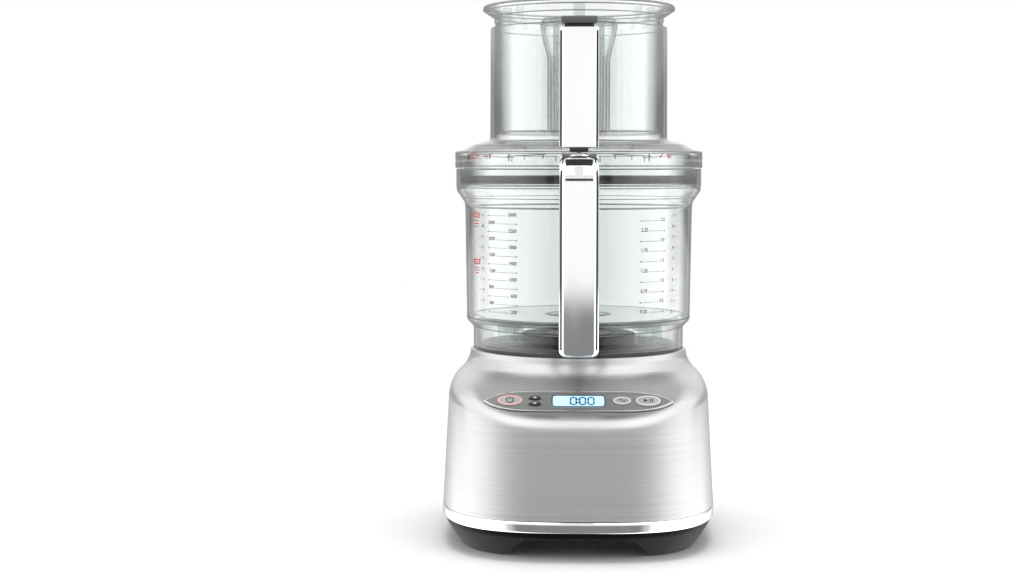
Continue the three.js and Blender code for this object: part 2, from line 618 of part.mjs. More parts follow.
function lowerBracket() {
  const plateTop = BRACKET_BOTTOM + BRACKET_THICKNESS;
  const cupTop = plateTop + BEARING_HEIGHT + 1;
  const made = motorBracket(BRACKET_BOTTOM, plateTop, plateTop - 1, STACK_BOTTOM - GAP, plateTop - 1, cupTop);
  const seat = disc(BEARING_RADIUS + GAP, plateTop, cupTop + 1, { steps: MOTOR_STEPS });
  return cut(made, seat, disc(SHAFT_RADIUS + 1, 0, cupTop + 1));
}

function upperBracket() {
  const plateLow = UPPER_BRACKET_TOP - BRACKET_THICKNESS;
  const cupLow = plateLow - BEARING_HEIGHT - 1;
  const made = motorBracket(plateLow, UPPER_BRACKET_TOP, STACK_TOP + GAP, plateLow + 1, cupLow, plateLow + 1);
  const seat = disc(BEARING_RADIUS + GAP, cupLow - 1, plateLow, { steps: MOTOR_STEPS });
  return cut(made, seat, disc(SHAFT_RADIUS + 1, cupLow - 1, UPPER_BRACKET_TOP + 1));
}

const bearing = (z0) =>
  turned([
    [SHAFT_RADIUS + 0.05, z0], [BEARING_RADIUS, z0], [BEARING_RADIUS, z0 + BEARING_HEIGHT],
    [SHAFT_RADIUS + 0.05, z0 + BEARING_HEIGHT],
  ], { steps: MOTOR_STEPS });

const motorBush = ([x, y]) =>
  turned([
    [2.2, PAN_FLOOR + GAP], [7, PAN_FLOOR + GAP], [5.6, PAN_FLOOR + GAP + BUSH_HEIGHT / 2],
    [7, PAN_FLOOR + GAP + BUSH_HEIGHT], [2.2, PAN_FLOOR + GAP + BUSH_HEIGHT],
  ], { x, y, steps: SMALL_STEPS });

const SPINDLE_BOTTOM = BOSS_TOP + 0.4;
const SHAFT_TOP = SPINDLE_BOTTOM + 26;

const motorShaft = () => disc(SHAFT_RADIUS, BRACKET_BOTTOM, SHAFT_TOP, { steps: MOTOR_STEPS });

const rotorCore = () => ring(SHAFT_RADIUS + 0.02, ROTOR_RADIUS, STACK_BOTTOM, STACK_TOP,
  { steps: MOTOR_STEPS });

// A hub and a disc with blades standing on it.
function coolingFan() {
  const low = UPPER_BRACKET_TOP + 3;
  const high = low + 13;
  const tip = MOTOR_SIZE / 2 - 4;
  const blades = Array.from({ length: 9 }, (_, i) =>
    box(10, tip, -0.9, 0.9, low + 1, high).rotate([0, 0, i * 40]).translate([0, AXIS_Y, 0]));
  const hub = disc(11, low, high, { steps: MOTOR_STEPS });
  const plate = disc(tip, low, low + 1.8, { steps: MOTOR_STEPS });
  return cut(join(plate, hub, ...blades), disc(SHAFT_RADIUS + 0.02, low - 1, high + 1,
    { steps: MOTOR_STEPS }));
}

// The drive post over the shaft, with three flats.
function driveSpindle() {
  const top = SPINDLE_BOTTOM + SPINDLE_HEIGHT;
  const post = turned([
    [0, SPINDLE_BOTTOM], [SPINDLE_RADIUS, SPINDLE_BOTTOM], [SPINDLE_RADIUS, top - 2],
      [SPINDLE_RADIUS - 2, top], [0, top],
  ], { steps: MOTOR_STEPS });
  const flats = [90, 210, 330].map((angle) =>
    box(SPINDLE_RADIUS - 0.9, SPINDLE_RADIUS + 2, -8, 8, SPINDLE_BOTTOM + 8, top + 1)
      .rotate([0, 0, angle])
      .translate([0, AXIS_Y, 0]));
  return cut(post, disc(SHAFT_RADIUS + 0.02, SPINDLE_BOTTOM - 1, SHAFT_TOP + 0.5, { steps: MOTOR_STEPS }),
    ...flats);
}

// ---------------------------------------------------------------- bowl and handle

const HUB_BORE = SPINDLE_RADIUS + 0.8;
const HUB_RADIUS = HUB_BORE + CLEAR_WALL;
const HUB_TOP = SPINDLE_BOTTOM + SPINDLE_HEIGHT + 6;
const WALL_TOP_RADIUS = BOWL_RADIUS + 1.4;
const WALL_TOP = RIM_TOP - 36;
const FLARE_TOP = RIM_TOP - 15;

// The outside of the bowl from its skirt to its rim.
const BOWL_OUTSIDE = [
  [SKIRT_RADIUS, BOWL_BOTTOM], [SKIRT_RADIUS, FLOOR_UNDERSIDE - 6], [BOWL_RADIUS - 0.5, FLOOR_UNDERSIDE],
  [BOWL_RADIUS, FLOOR_TOP], [WALL_TOP_RADIUS, WALL_TOP], [WALL_TOP_RADIUS + 0.6, WALL_TOP + 6],
  [RIM_RADIUS - 0.6, FLARE_TOP - 5], [RIM_RADIUS, FLARE_TOP], [RIM_RADIUS, RIM_TOP],
];

function bowl() {
  const inner = -CLEAR_WALL;
  const made = turned([
    ...BOWL_OUTSIDE,
    [RIM_RADIUS + inner, RIM_TOP], [RIM_RADIUS + inner, FLARE_TOP + 1],
      [WALL_TOP_RADIUS + inner, WALL_TOP + 8],
    [WALL_TOP_RADIUS + inner, WALL_TOP], [BOWL_RADIUS + inner, FLOOR_TOP + 4],
      [BOWL_RADIUS + inner - 1.2, FLOOR_TOP + 1],
    [BOWL_RADIUS + inner - 4, FLOOR_TOP], [HUB_RADIUS + 1, FLOOR_TOP], [HUB_RADIUS, FLOOR_TOP + 1],
    [HUB_RADIUS - 0.8, HUB_TOP], [HUB_BORE, HUB_TOP], [HUB_BORE, FLOOR_UNDERSIDE],
    [SKIRT_RADIUS + inner, FLOOR_UNDERSIDE], [SKIRT_RADIUS + inner, BOWL_BOTTOM],
  ]);
  const lugs = [45, 135, 225, 315].map((angle) =>
    box(SKIRT_RADIUS - 13, SKIRT_RADIUS - 1.5, -9, 9, DECK_PLATEAU + 4, FLOOR_UNDERSIDE + 1)
      .rotate([0, 0, angle])
      .translate([0, AXIS_Y, 0]));
  const rodSlot = box(-5, 5, AXIS_Y - SKIRT_RADIUS - 4, AXIS_Y - SKIRT_RADIUS + 8, BOWL_BOTTOM - 1,
    ROD_FOOT_TOP + 1.5);
  return cut(join(made, ...lugs), rodSlot);
}

const ROD_FOOT_BOTTOM = PIN_TOP + GAP;
const ROD_FOOT_TOP = ROD_FOOT_BOTTOM + 3;
const ROD_RADIUS = 1.6;
const ROD_TOP = FOOT_BOTTOM - GAP;

// Side view of the handle, with reach in front of the bowl's axis across and height up.
function handleSide() {
  const [front, back] = [FRAME_FRONT, SPINE_INNER];
  const outside = new THREE.Shape()
    .moveTo(back, HANDLE_BOTTOM)
    .lineTo(front - HANDLE_TOE, HANDLE_BOTTOM)
    .quadraticCurveTo(front, HANDLE_BOTTOM, front, HANDLE_BOTTOM + HANDLE_TOE)
    .lineTo(front, HANDLE_TOP - HANDLE_CORNER)
    .quadraticCurveTo(front, HANDLE_TOP, front - HANDLE_CORNER, HANDLE_TOP)
    .lineTo(back, HANDLE_TOP);
  const [gapBack, gapFront] = [back + SPINE_THICKNESS, front - GRIP_THICKNESS];
  const [low, high] = [HANDLE_BOTTOM + 15, HANDLE_TOP - 17];
  const bend = 10;
  const finger = new THREE.Path()
    .moveTo(gapBack, low + bend)
    .quadraticCurveTo(gapBack, low, gapBack + bend, low)
    .lineTo(gapFront - bend, low)
    .quadraticCurveTo(gapFront, low, gapFront, low + bend)
    .lineTo(gapFront, high - bend)
    .quadraticCurveTo(gapFront, high, gapFront - bend, high)
    .lineTo(gapBack + bend, high)
    .quadraticCurveTo(gapBack, high, gapBack, high - bend);
  outside.holes.push(finger);
  return outside;
}

// A side view pushed to a width and stood up on the bowl's centre plane.
function fromSide(shape, width) {
  const made = new THREE.ExtrudeGeometry(shape, { depth: width, bevelEnabled: false,
    curveSegments: CURVE_STEPS });
  return solid(made.translate(0, 0, -width / 2).rotateX(Math.PI / 2).rotateZ(-Math.PI / 2).translate(0,
    AXIS_Y, 0));
}

// The frame runs from the rim to the skirt and clears the bowl, the rod and the plunger's foot.
function handleFrame() {
  const grip = fromSide(handleSide(), HANDLE_WIDTH);
  const armLow = HANDLE_BOTTOM + 1;
  const armHigh = armLow + 13;
  const innerEnd = AXIS_Y - SKIRT_RADIUS + 1;
  const bottomArm = box(-9, 9, AXIS_Y - SPINE_INNER - 2, innerEnd, armLow, armHigh);
  const topArm = box(-9, 9, AXIS_Y - SPINE_INNER - 2, AXIS_Y - RIM_RADIUS, FLARE_TOP, RIM_TOP - 1);
  const bowlSpace = turned([
    [0, BOWL_BOTTOM - 5], [SKIRT_RADIUS + GAP, BOWL_BOTTOM - 5],
    ...BOWL_OUTSIDE.map(([radius, z]) => [radius + GAP, z]), [0, RIM_TOP],
  ]);
  const rodWell = disc(ROD_RADIUS + 0.7, ROD_FOOT_BOTTOM - 3, HANDLE_TOP + 5, { y: AXIS_Y - ROD_Y });
  const springWell = disc(4, SPRING_LOW - GAP, SPRING_HIGH + GAP, { y: AXIS_Y - ROD_Y });
  const foot = box(-2.8, 2.8, AXIS_Y - ROD_Y - 2, innerEnd + 3, ROD_FOOT_BOTTOM - PLUNGER_TRAVEL - 0.6,
    ROD_FOOT_TOP + 0.6);
  const topWell = box(-FOOT_WIDTH / 2 - 0.6, FOOT_WIDTH / 2 + 0.6, AXIS_Y - FOOT_FRONT - 0.6,
    AXIS_Y - LID_RADIUS + 4,
    FOOT_BOTTOM - PLUNGER_TRAVEL - 0.5, HANDLE_TOP + 5);
  return cut(join(grip, bottomArm, topArm), bowlSpace, rodWell, springWell, foot, topWell);
}

const FOOT_WIDTH = 15;
const FOOT_FRONT = ROD_Y + 3;
const SPRING_LOW = HANDLE_BOTTOM + 96;
const SPRING_HIGH = SPRING_LOW + 22;

const COVER_RETURN = 15; // how far the cover wraps back from the handle's front
const HANDLE_TOE = 6; // rounding of the handle's lower front corner

// A polished channel over the handle's front, top corner and foot.
function handleCover() {
  const [back, front] = [FRAME_FRONT + GAP, HANDLE_FRONT];
  const [low, high] = [HANDLE_BOTTOM, HANDLE_TOP];
  const topEnd = front - HANDLE_CORNER - 1;
  const side = new THREE.Shape()
    .moveTo(front - COVER_RETURN, low)
    .lineTo(front - HANDLE_TOE, low)
    .quadraticCurveTo(front, low, front, low + HANDLE_TOE)
    .lineTo(front, high - HANDLE_CORNER)
    .quadraticCurveTo(front, high, front - HANDLE_CORNER, high)
    .lineTo(topEnd, high)
    .lineTo(topEnd, high - COVER_RETURN / 2)
    .lineTo(front - COVER_RETURN, high - HANDLE_CORNER);
  const channel = fromSide(side, HANDLE_WIDTH + 2 * COVER_THICKNESS);
  const behind = topEnd - 10;
  const core = new THREE.Shape()
    .moveTo(behind, low - 5)
    .lineTo(back, low - 5)
    .lineTo(back, high - HANDLE_CORNER)
    .quadraticCurveTo(back, high + GAP, back - HANDLE_CORNER, high + GAP)
    .lineTo(behind, high + GAP);
  return cut(channel, fromSide(core, HANDLE_WIDTH + 2 * GAP));
}

// The rod stands in the spine, and its foot reaches under the bowl's floor to the switch pin.
function handleRod() {
  const y = AXIS_Y - ROD_Y;
  const rod = disc(ROD_RADIUS, ROD_FOOT_BOTTOM, ROD_TOP, { y });
  const foot = box(-2.2, 2.2, y - ROD_RADIUS, AXIS_Y - PIN_REACH + 2, ROD_FOOT_BOTTOM, ROD_FOOT_TOP);
  const collar = disc(3.4, SPRING_HIGH - 2, SPRING_HIGH, { y });
  return join(rod, foot, collar);
}

const rodSpring = () =>
  coilSpring(ROD_RADIUS + 1.1, SPRING_LOW, SPRING_HIGH - 2 - GAP, 5, { y: AXIS_Y - ROD_Y });

// ---------------------------------------------------------------- lid, hopper and interlock guide

const SEAL_LOW = RIM_TOP - 13;
const SEAL_HEIGHT = 6.5;
const INNER_SKIRT_RADIUS = RIM_RADIUS - CLEAR_WALL - 3.4;
const CHUTE_RADIUS = HOPPER_RADIUS - CLEAR_WALL;
const GUIDE_BOTTOM = LID_SHOULDER + 2.4;

// The top of the lid from the hopper's wall to the shoulder.
const LID_TOP = [
  [HOPPER_RADIUS, DOME_TOP + 1], [HOPPER_RADIUS + 2, DOME_TOP - 1],
  [(HOPPER_RADIUS + LID_RADIUS) / 2, LID_SHOULDER + DOME_RISE * 0.55], [LID_RADIUS - 5.5, LID_SHOULDER],
];

// The guide's plan is narrow in front and spreads into the hopper's wall.
function guideOutline() {
  const back = CHUTE_RADIUS * 0.9;
  const front = GUIDE_FRONT;
  const half = GUIDE_WIDTH / 2;
  return polygon([
    [-half - 22, AXIS_Y - back], [-half - 14, AXIS_Y - HOPPER_RADIUS + 7], [-half, AXIS_Y - front + 8],
    [-half, AXIS_Y - front], [half, AXIS_Y - front], [half, AXIS_Y - front + 8],
    [half + 14, AXIS_Y - HOPPER_RADIUS + 7], [half + 22, AXIS_Y - back],
  ]);
}

function lid() {
  const lip = INNER_SKIRT_RADIUS + 1.2;
  const shell = turned([
    [CHUTE_RADIUS, HOPPER_TOP], [HOPPER_RADIUS - 0.5, HOPPER_TOP], ...LID_TOP,
    [LID_RADIUS - 1.2, LID_SHOULDER - 0.3], [LID_RADIUS, LID_SHOULDER - 1.6],
    [LID_RADIUS, LID_BOTTOM], [LID_RADIUS - CLEAR_WALL, LID_BOTTOM],
      [LID_RADIUS - CLEAR_WALL, LID_SHOULDER - 4],
    [INNER_SKIRT_RADIUS, LID_SHOULDER - 4], [INNER_SKIRT_RADIUS, SEAL_LOW - GAP], [lip, SEAL_LOW - GAP],
    [lip, SEAL_LOW - 2], [INNER_SKIRT_RADIUS - CLEAR_WALL, SEAL_LOW - 2],
    [INNER_SKIRT_RADIUS - CLEAR_WALL, LID_SHOULDER - 3.6],
    [(HOPPER_RADIUS + LID_RADIUS) / 2, LID_SHOULDER + DOME_RISE * 0.55 - CLEAR_WALL],
    [CHUTE_RADIUS, DOME_TOP - CLEAR_WALL],
  ]);
  const guide = pushed(guideOutline(), GUIDE_BOTTOM - 4, GUIDE_TOP);
  const chute = disc(CHUTE_RADIUS, 0, HOPPER_TOP + 5, { steps: ROUND_STEPS });
  const well = box(-14, 14, AXIS_Y - LID_RADIUS + CLEAR_WALL / 2, AXIS_Y - INNER_SKIRT_RADIUS,
    LID_SHOULDER - 9.6, LID_SHOULDER - 3);
  const bore = box(-STEM_WIDTH / 2 - 0.5, STEM_WIDTH / 2 + 0.5, AXIS_Y - GUIDE_FRONT + 2,
    AXIS_Y - HOPPER_RADIUS - 1.5,
    FOOT_BOTTOM - PLUNGER_TRAVEL - 0.6, GUIDE_TOP + 1);
  const footSlot = box(-FOOT_WIDTH / 2 - 0.5, FOOT_WIDTH / 2 + 0.5, AXIS_Y - LID_RADIUS - 5,
    AXIS_Y - HOPPER_RADIUS - 1.5,
    FOOT_BOTTOM - PLUNGER_TRAVEL - 0.6, GUIDE_BOTTOM + 1.5);
  return cut(join(shell, cut(guide, chute), well), bore, footSlot);
}

const lidSeal = () =>
  turned([
    [INNER_SKIRT_RADIUS + GAP, SEAL_LOW], [RIM_RADIUS - CLEAR_WALL - 1, SEAL_LOW],
      [RIM_RADIUS - CLEAR_WALL - 0.4, SEAL_LOW + 1.5],
    [RIM_RADIUS - CLEAR_WALL - 1.4, SEAL_LOW + SEAL_HEIGHT / 2],
      [RIM_RADIUS - CLEAR_WALL - 0.4, SEAL_LOW + SEAL_HEIGHT - 1.5],
    [RIM_RADIUS - CLEAR_WALL - 1, SEAL_LOW + SEAL_HEIGHT], [INNER_SKIRT_RADIUS + GAP, SEAL_LOW + SEAL_HEIGHT],
  ]);

// A polished channel over the guide's front.
function interlockCover() {
  const outer = GUIDE_WIDTH / 2 + GAP + 1.2;
  const front = GUIDE_FRONT + GAP + COVER_THICKNESS;
  const made = box(-outer, outer, AXIS_Y - front, AXIS_Y - GUIDE_FRONT + 6, GUIDE_BOTTOM, GUIDE_TOP + 0.2);
  const inside = GUIDE_WIDTH / 2 + GAP;
  const lidSpace = turned([[0, 0], ...LID_TOP.map(([radius, z]) => [radius, z + 2 * GAP]).reverse(),
    [0, DOME_TOP + 1]]);
  return cut(made, box(-inside, inside, AXIS_Y - GUIDE_FRONT - GAP, AXIS_Y, 0, HOPPER_TOP), lidSpace);
}

const STEM_WIDTH = 16;
const CAP_BOTTOM = GUIDE_TOP + PLUNGER_TRAVEL + 0.6;
const CAP_TOP = CAP_BOTTOM + 6;

// A stem in the guide, a cap above it, and a foot that reaches over the handle's rod.
function lidPlunger() {
  const back = AXIS_Y - HOPPER_RADIUS - 3;
  const front = AXIS_Y - GUIDE_FRONT + 3;
  const stem = box(-STEM_WIDTH / 2, STEM_WIDTH / 2, front, back, FOOT_BOTTOM, CAP_BOTTOM + 1);
  const cap = box(-14, 14, AXIS_Y - GUIDE_FRONT, back, CAP_BOTTOM, CAP_TOP);
  const foot = box(-FOOT_WIDTH / 2, FOOT_WIDTH / 2, AXIS_Y - FOOT_FRONT, back, FOOT_BOTTOM,
    FOOT_BOTTOM + FOOT_HEIGHT);
  return join(stem, cap, foot);
}

// ---------------------------------------------------------------- pushers

const PUSHER_RADIUS = CHUTE_RADIUS - PUSHER_CLEARANCE;
const PUSHER_BOTTOM = DOME_TOP + 5.4;
const FEED_TOP = HOPPER_TOP + 4.5;
const FEED_FLARE = 6.5;
const FEED_BEND_LOW = FEED_TOP - 36;
const FEED_WALL = 2.4;
const PUSHER_WALL = 2.5;

// The feed tube's outer radius on its way from the straight part to its flared mouth.
function feedFlare(thickness) {
  const steps = 4;
  return Array.from({ length: steps + 1 }, (_, i) => {
    const share = i / steps;
    const eased = (1 - Math.cos(Math.PI * share)) / 2;
    return [FEED_RADIUS - thickness + FEED_FLARE * eased, FEED_BEND_LOW + (FEED_TOP - FEED_BEND_LOW) * share];
  });
}

function pusher() {
  const neck = PUSHER_RADIUS + 0.7;
  const flangeTop = FLANGE_BOTTOM + FLANGE_THICKNESS;
  const body = turned([
    [PUSHER_RADIUS - 1, PUSHER_BOTTOM], [PUSHER_RADIUS, PUSHER_BOTTOM + 1], [PUSHER_RADIUS, HOPPER_TOP + 4],
    [neck, HOPPER_TOP + 8.5], [FLANGE_RADIUS - 1.5, FLANGE_BOTTOM], [FLANGE_RADIUS, FLANGE_BOTTOM + 1],
    [FLANGE_RADIUS, flangeTop - 1], [FLANGE_RADIUS - 1, flangeTop], [neck + 2, flangeTop - 0.6],
    [neck - PUSHER_WALL, HOPPER_TOP + 10], [PUSHER_RADIUS - PUSHER_WALL, HOPPER_TOP + 4],
    [PUSHER_RADIUS - PUSHER_WALL, PUSHER_BOTTOM + 4], [PUSHER_RADIUS - PUSHER_WALL - 1, PUSHER_BOTTOM + 3],
    [FEED_RADIUS, PUSHER_BOTTOM + 3], ...feedFlare(0), ...feedFlare(FEED_WALL).reverse(),
    [FEED_RADIUS - FEED_WALL, PUSHER_BOTTOM],
  ]);
  const tabs = [-45, 45, 135, 225].map((angle) => flangeTab(neck).rotate([0, 0, angle]).translate([0,
    AXIS_Y, 0]));
  const finger = box(-5, 5, AXIS_Y - FLANGE_RADIUS + 1, AXIS_Y - HOPPER_RADIUS - 2.5, CAP_TOP + 0.5,
    FLANGE_BOTTOM + 2);
  return join(body, ...tabs, finger);
}

// A thin gusset under the flange, in the plane X = 0 before it is turned.
function flangeTab(neck) {
  const side = polygon([[neck - 1, HOPPER_TOP + 6], [neck + 2.5, HOPPER_TOP + 4],
    [FLANGE_RADIUS - 2, FLANGE_BOTTOM + 1], [neck - 1, FLANGE_BOTTOM + 1]]);
  const made = new THREE.ExtrudeGeometry(side, { depth: 1.8, bevelEnabled: false });
  return solid(made.translate(0, 0, -0.9).rotateX(Math.PI / 2).rotateZ(-Math.PI / 2));
}

function smallPusher() {
  const outer = FEED_RADIUS - FEED_WALL - SMALL_PUSHER_CLEARANCE;
  const cap = FEED_RADIUS + FEED_FLARE - 2;
  const low = PUSHER_BOTTOM + 2;
  return turned([
    [0, low], [outer, low], [outer + 0.4, FEED_TOP - 4], [outer + 1, FEED_TOP + GAP], [cap, FEED_TOP + GAP],
    [cap + 0.6, FEED_TOP + 2], [cap, FEED_TOP + 4], [outer - 2, FEED_TOP + 4], [outer - 2.4, low + 3],
      [0, low + 3],
  ], { steps: MOTOR_STEPS });
}

// ---------------------------------------------------------------- the assembly

addPiece("housing", housing(), "brushed_steel");
addPiece("trim_band", trimBand(), "chrome");
addPiece("bottom_pan", bottomPan(), "dark_plastic");
PAD_PLACES.forEach((place, i) => addPiece(`foot_pad_${i + 1}`, footPad(place), "black_rubber"));
SCREW_PLACES.forEach((place, i) => addPiece(`pan_screw_${i + 1}`, panScrew(place), "steel"));
addPiece("cord_gland", cordGland(), "black_rubber");

addPiece("panel_plate", panelPlate(), "panel");
addPiece("display_lens", displayLens(), "display");
addPiece("display_module", displayModule(), "dark_plastic");
addPiece("control_board", controlBoard(), "circuit");
BUTTONS.forEach((button) => addPiece(button.name, pushButton(button), "panel"));

addPiece("bowl_deck", bowlDeck(), "dark_plastic");
addPiece("shaft_seal", shaftSeal(), "black_rubber");
addPiece("switch_pin", switchPin(), "dark_plastic");
addPiece("switch_pin_spring", pinSpring(), "steel");
addPiece("interlock_switch", interlockSwitch(), "dark_plastic");
addPiece("power_board", powerBoard(), "circuit");

addPiece("motor_stator", motorStator(), "iron");
addPiece("lower_winding", winding(STACK_BOTTOM - WINDING_HEIGHT - GAP), "copper");
addPiece("upper_winding", winding(STACK_TOP + GAP), "copper");
addPiece("lower_bracket", lowerBracket(), "aluminium");
addPiece("upper_bracket", upperBracket(), "aluminium");
addPiece("lower_bearing", bearing(BRACKET_BOTTOM + BRACKET_THICKNESS + GAP), "steel");
addPiece("upper_bearing", bearing(UPPER_BRACKET_TOP - BRACKET_THICKNESS - BEARING_HEIGHT - GAP), "steel");
MOTOR_CORNERS.forEach((place, i) => addPiece(`motor_bush_${i + 1}`, motorBush(place), "black_rubber"));
addPiece("motor_shaft", motorShaft(), "steel");
addPiece("rotor_core", rotorCore(), "iron");
addPiece("cooling_fan", coolingFan(), "dark_plastic");
addPiece("drive_spindle", driveSpindle(), "steel");

addPiece("bowl", bowl(), "clear_plastic");
addPiece("handle_frame", handleFrame(), "dark_plastic");
addPiece("handle_cover", handleCover(), "chrome");
addPiece("handle_rod", handleRod(), "dark_plastic");
addPiece("rod_spring", rodSpring(), "steel");

addPiece("lid", lid(), "clear_plastic");
addPiece("lid_seal", lidSeal(), "black_rubber");
addPiece("interlock_cover", interlockCover(), "chrome");
addPiece("lid_plunger", lidPlunger(), "dark_plastic");
addPiece("pusher", pusher(), "clear_plastic");
addPiece("small_pusher", smallPusher(), "clear_plastic");

export default part;
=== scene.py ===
"""The looks of the food processor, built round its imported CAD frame. Metres, +Z up, the front faces -Y."""

import json
from math import copysign, cos, exp, log, pi, radians, sin, tan

import bmesh
import bpy
from mathutils import Matrix, Vector


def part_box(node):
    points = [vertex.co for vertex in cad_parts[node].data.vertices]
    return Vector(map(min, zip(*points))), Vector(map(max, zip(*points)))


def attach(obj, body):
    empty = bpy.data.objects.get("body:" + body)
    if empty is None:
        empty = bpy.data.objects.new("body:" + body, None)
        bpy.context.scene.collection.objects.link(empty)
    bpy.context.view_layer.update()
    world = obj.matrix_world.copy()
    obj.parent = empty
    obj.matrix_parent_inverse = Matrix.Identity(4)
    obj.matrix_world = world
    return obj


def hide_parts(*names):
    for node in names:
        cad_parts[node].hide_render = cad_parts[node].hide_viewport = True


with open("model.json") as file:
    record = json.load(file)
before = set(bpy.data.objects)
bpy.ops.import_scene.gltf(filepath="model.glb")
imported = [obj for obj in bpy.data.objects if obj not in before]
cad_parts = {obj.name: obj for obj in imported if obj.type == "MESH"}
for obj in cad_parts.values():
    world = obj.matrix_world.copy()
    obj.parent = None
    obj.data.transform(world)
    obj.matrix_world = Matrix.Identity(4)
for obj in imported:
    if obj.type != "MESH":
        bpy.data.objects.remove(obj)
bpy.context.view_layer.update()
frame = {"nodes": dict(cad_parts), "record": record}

MM = 0.001
TAU = 2 * pi

# ---------------------------------------------------------------- sizes read from the frame

BOX = {name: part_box(name) for name in frame["nodes"]}


def size(node, axis):
    low, high = BOX[node]
    return high[axis] - low[axis]


def low(node, axis):
    return BOX[node][0][axis]


def high(node, axis):
    return BOX[node][1][axis]


def centre(node, axis):
    return (low(node, axis) + high(node, axis)) / 2


AXIS_Y = centre("drive_spindle", 1)
HALF_WIDTH = size("trim_band", 0) / 2
HALF_DEPTH = size("trim_band", 1) / 2
OUTLINE_POWER = 3
COLLAR_TOP = high("housing", 2)
RIM_RADIUS = high("bowl", 0)
BOWL_RADIUS = RIM_RADIUS - 9.4 * MM
BOWL_BOTTOM = low("bowl", 2)
RIM_TOP = high("bowl", 2)
FLOOR_UNDERSIDE = BOWL_BOTTOM + 23.2 * MM
FLOOR_TOP = FLOOR_UNDERSIDE + 4 * MM
SKIRT_RADIUS = BOWL_RADIUS - 6 * MM
WALL = 3 * MM
WALL_TOP_RADIUS = BOWL_RADIUS + 1.4 * MM
WALL_TOP = RIM_TOP - 36 * MM
LID_RADIUS = high("lid", 0)
HOPPER_TOP = high("lid", 2)
LID_BOTTOM = RIM_TOP + 1.2 * MM
LID_SHOULDER = LID_BOTTOM + 14.3 * MM
DOME_TOP = HOPPER_TOP - 100 * MM
DOME_FOOT = 94 * MM
HOPPER_RADIUS = 79 * MM
CHUTE_RADIUS = HOPPER_RADIUS - WALL
NECK_RADIUS = BOWL_RADIUS - 2 * MM
NECK_Z = COLLAR_TOP - 12.5 * MM
COLLAR_RADIUS = BOWL_RADIUS - 3.5 * MM
SHOULDER_DROP = 25 * MM
SHELF_ANGLE = radians(35)
TRIM_LOW = low("trim_band", 2)
TRIM_HIGH = high("trim_band", 2)
PAN_HEIGHT = high("bottom_pan", 2)
CLEARANCE = 0.3 * MM

# ---------------------------------------------------------------- material helpers


class Tree:
    """A node tree with short ways to add to it. A socket may stand wherever a value may."""

    def __init__(self, tree):
        self.tree = tree

    def give(self, value, socket):
        if isinstance(value, bpy.types.NodeSocket):
            self.tree.links.new(value, socket)
        else:
            socket.default_value = value

    def add(self, kind, **settings):
        """A node whose settings are values for its inputs or its own options."""
        node = self.tree.nodes.new(kind)
        for key, value in settings.items():
            if key in node.inputs:
                self.give(value, node.inputs[key])
            else:
                setattr(node, key, value)
        return node

    def ramp(self, source, stops, interpolation="LINEAR"):
        """Colours or greys at positions from 0 to 1."""
        made = self.add("ShaderNodeValToRGB", Fac=source)
        made.color_ramp.interpolation = interpolation
        while len(made.color_ramp.elements) < len(stops):
            made.color_ramp.elements.new(0.5)
        for element, (position, value) in zip(made.color_ramp.elements, stops):
            element.position = position
            element.color = (*(grey(value) if isinstance(value, float) else value), 1)
        return made.outputs["Color"]

    def mixed_colours(self, share, first, second):
        made = self.add("ShaderNodeMix", data_type="RGBA", Factor=share)
        self.give(first, made.inputs[6])
        self.give(second, made.inputs[7])
        return made.outputs[2]

    def layered(self, share, under, over):
        """A share of one shader over another."""
        made = self.add("ShaderNodeMixShader", Fac=share)
        self.give(under, made.inputs[1])
        self.give(over, made.inputs[2])
        return made.outputs["Shader"]

    def eased(self, value, start, end, before=0.0, after=1.0):
        """Goes smoothly from before to after while the value goes from start to end."""
        limits = {"From Min": start, "From Max": end, "To Min": before, "To Max": after}
        made = self.add("ShaderNodeMapRange", interpolation_type="SMOOTHSTEP", Value=value, **limits)
        return made.outputs["Result"]


class Nodes(Tree):
    """A material's node tree, with its output and principled shader."""

    def __init__(self, name, **inputs):
        self.material = bpy.data.materials.new(name)
        self.material.use_nodes = True
        super().__init__(self.material.node_tree)
        self.shader = self.tree.nodes["Principled BSDF"]
        self.output = self.tree.nodes["Material Output"]
        self.set(**inputs)

    def set(self, **inputs):
        """Gives the principled shader its inputs; an underscore stands for a space."""
        for key, value in inputs.items():
            self.give(value, self.shader.inputs[key.replace("_", " ")])

    def place(self, scale=(1, 1, 1)):
        """Object coordinates stretched by scale."""
        where = self.add("ShaderNodeTexCoord").outputs["Object"]
        return self.add("ShaderNodeMapping", Vector=where, Scale=scale).outputs["Vector"]

    def noise(self, scale, detail=3.0, stretch=(1, 1, 1), roughness=0.5):
        where = self.place(stretch)
        made = self.add("ShaderNodeTexNoise", Scale=scale, Detail=detail, Roughness=roughness, Vector=where)
        return made.outputs["Fac"]

    def bump(self, source, strength, distance):
        made = self.add("ShaderNodeBump", Strength=strength, Distance=distance, Height=source)
        self.set(Normal=made.outputs["Normal"])

    def see_through(self, tint, share, skin_tint, wear):
        """Takes the principled shader's place: a clear sheet under a share of glossy skin."""
        self.tree.nodes.remove(self.shader)
        through = self.add("ShaderNodeBsdfTransparent", Color=tint).outputs["BSDF"]
        skin = self.add("ShaderNodeBsdfGlossy", Color=(*skin_tint, 1), Roughness=wear).outputs["BSDF"]
        self.give(self.layered(share, through, skin), self.output.inputs["Surface"])


def grey(value):
    return (value, value, value)


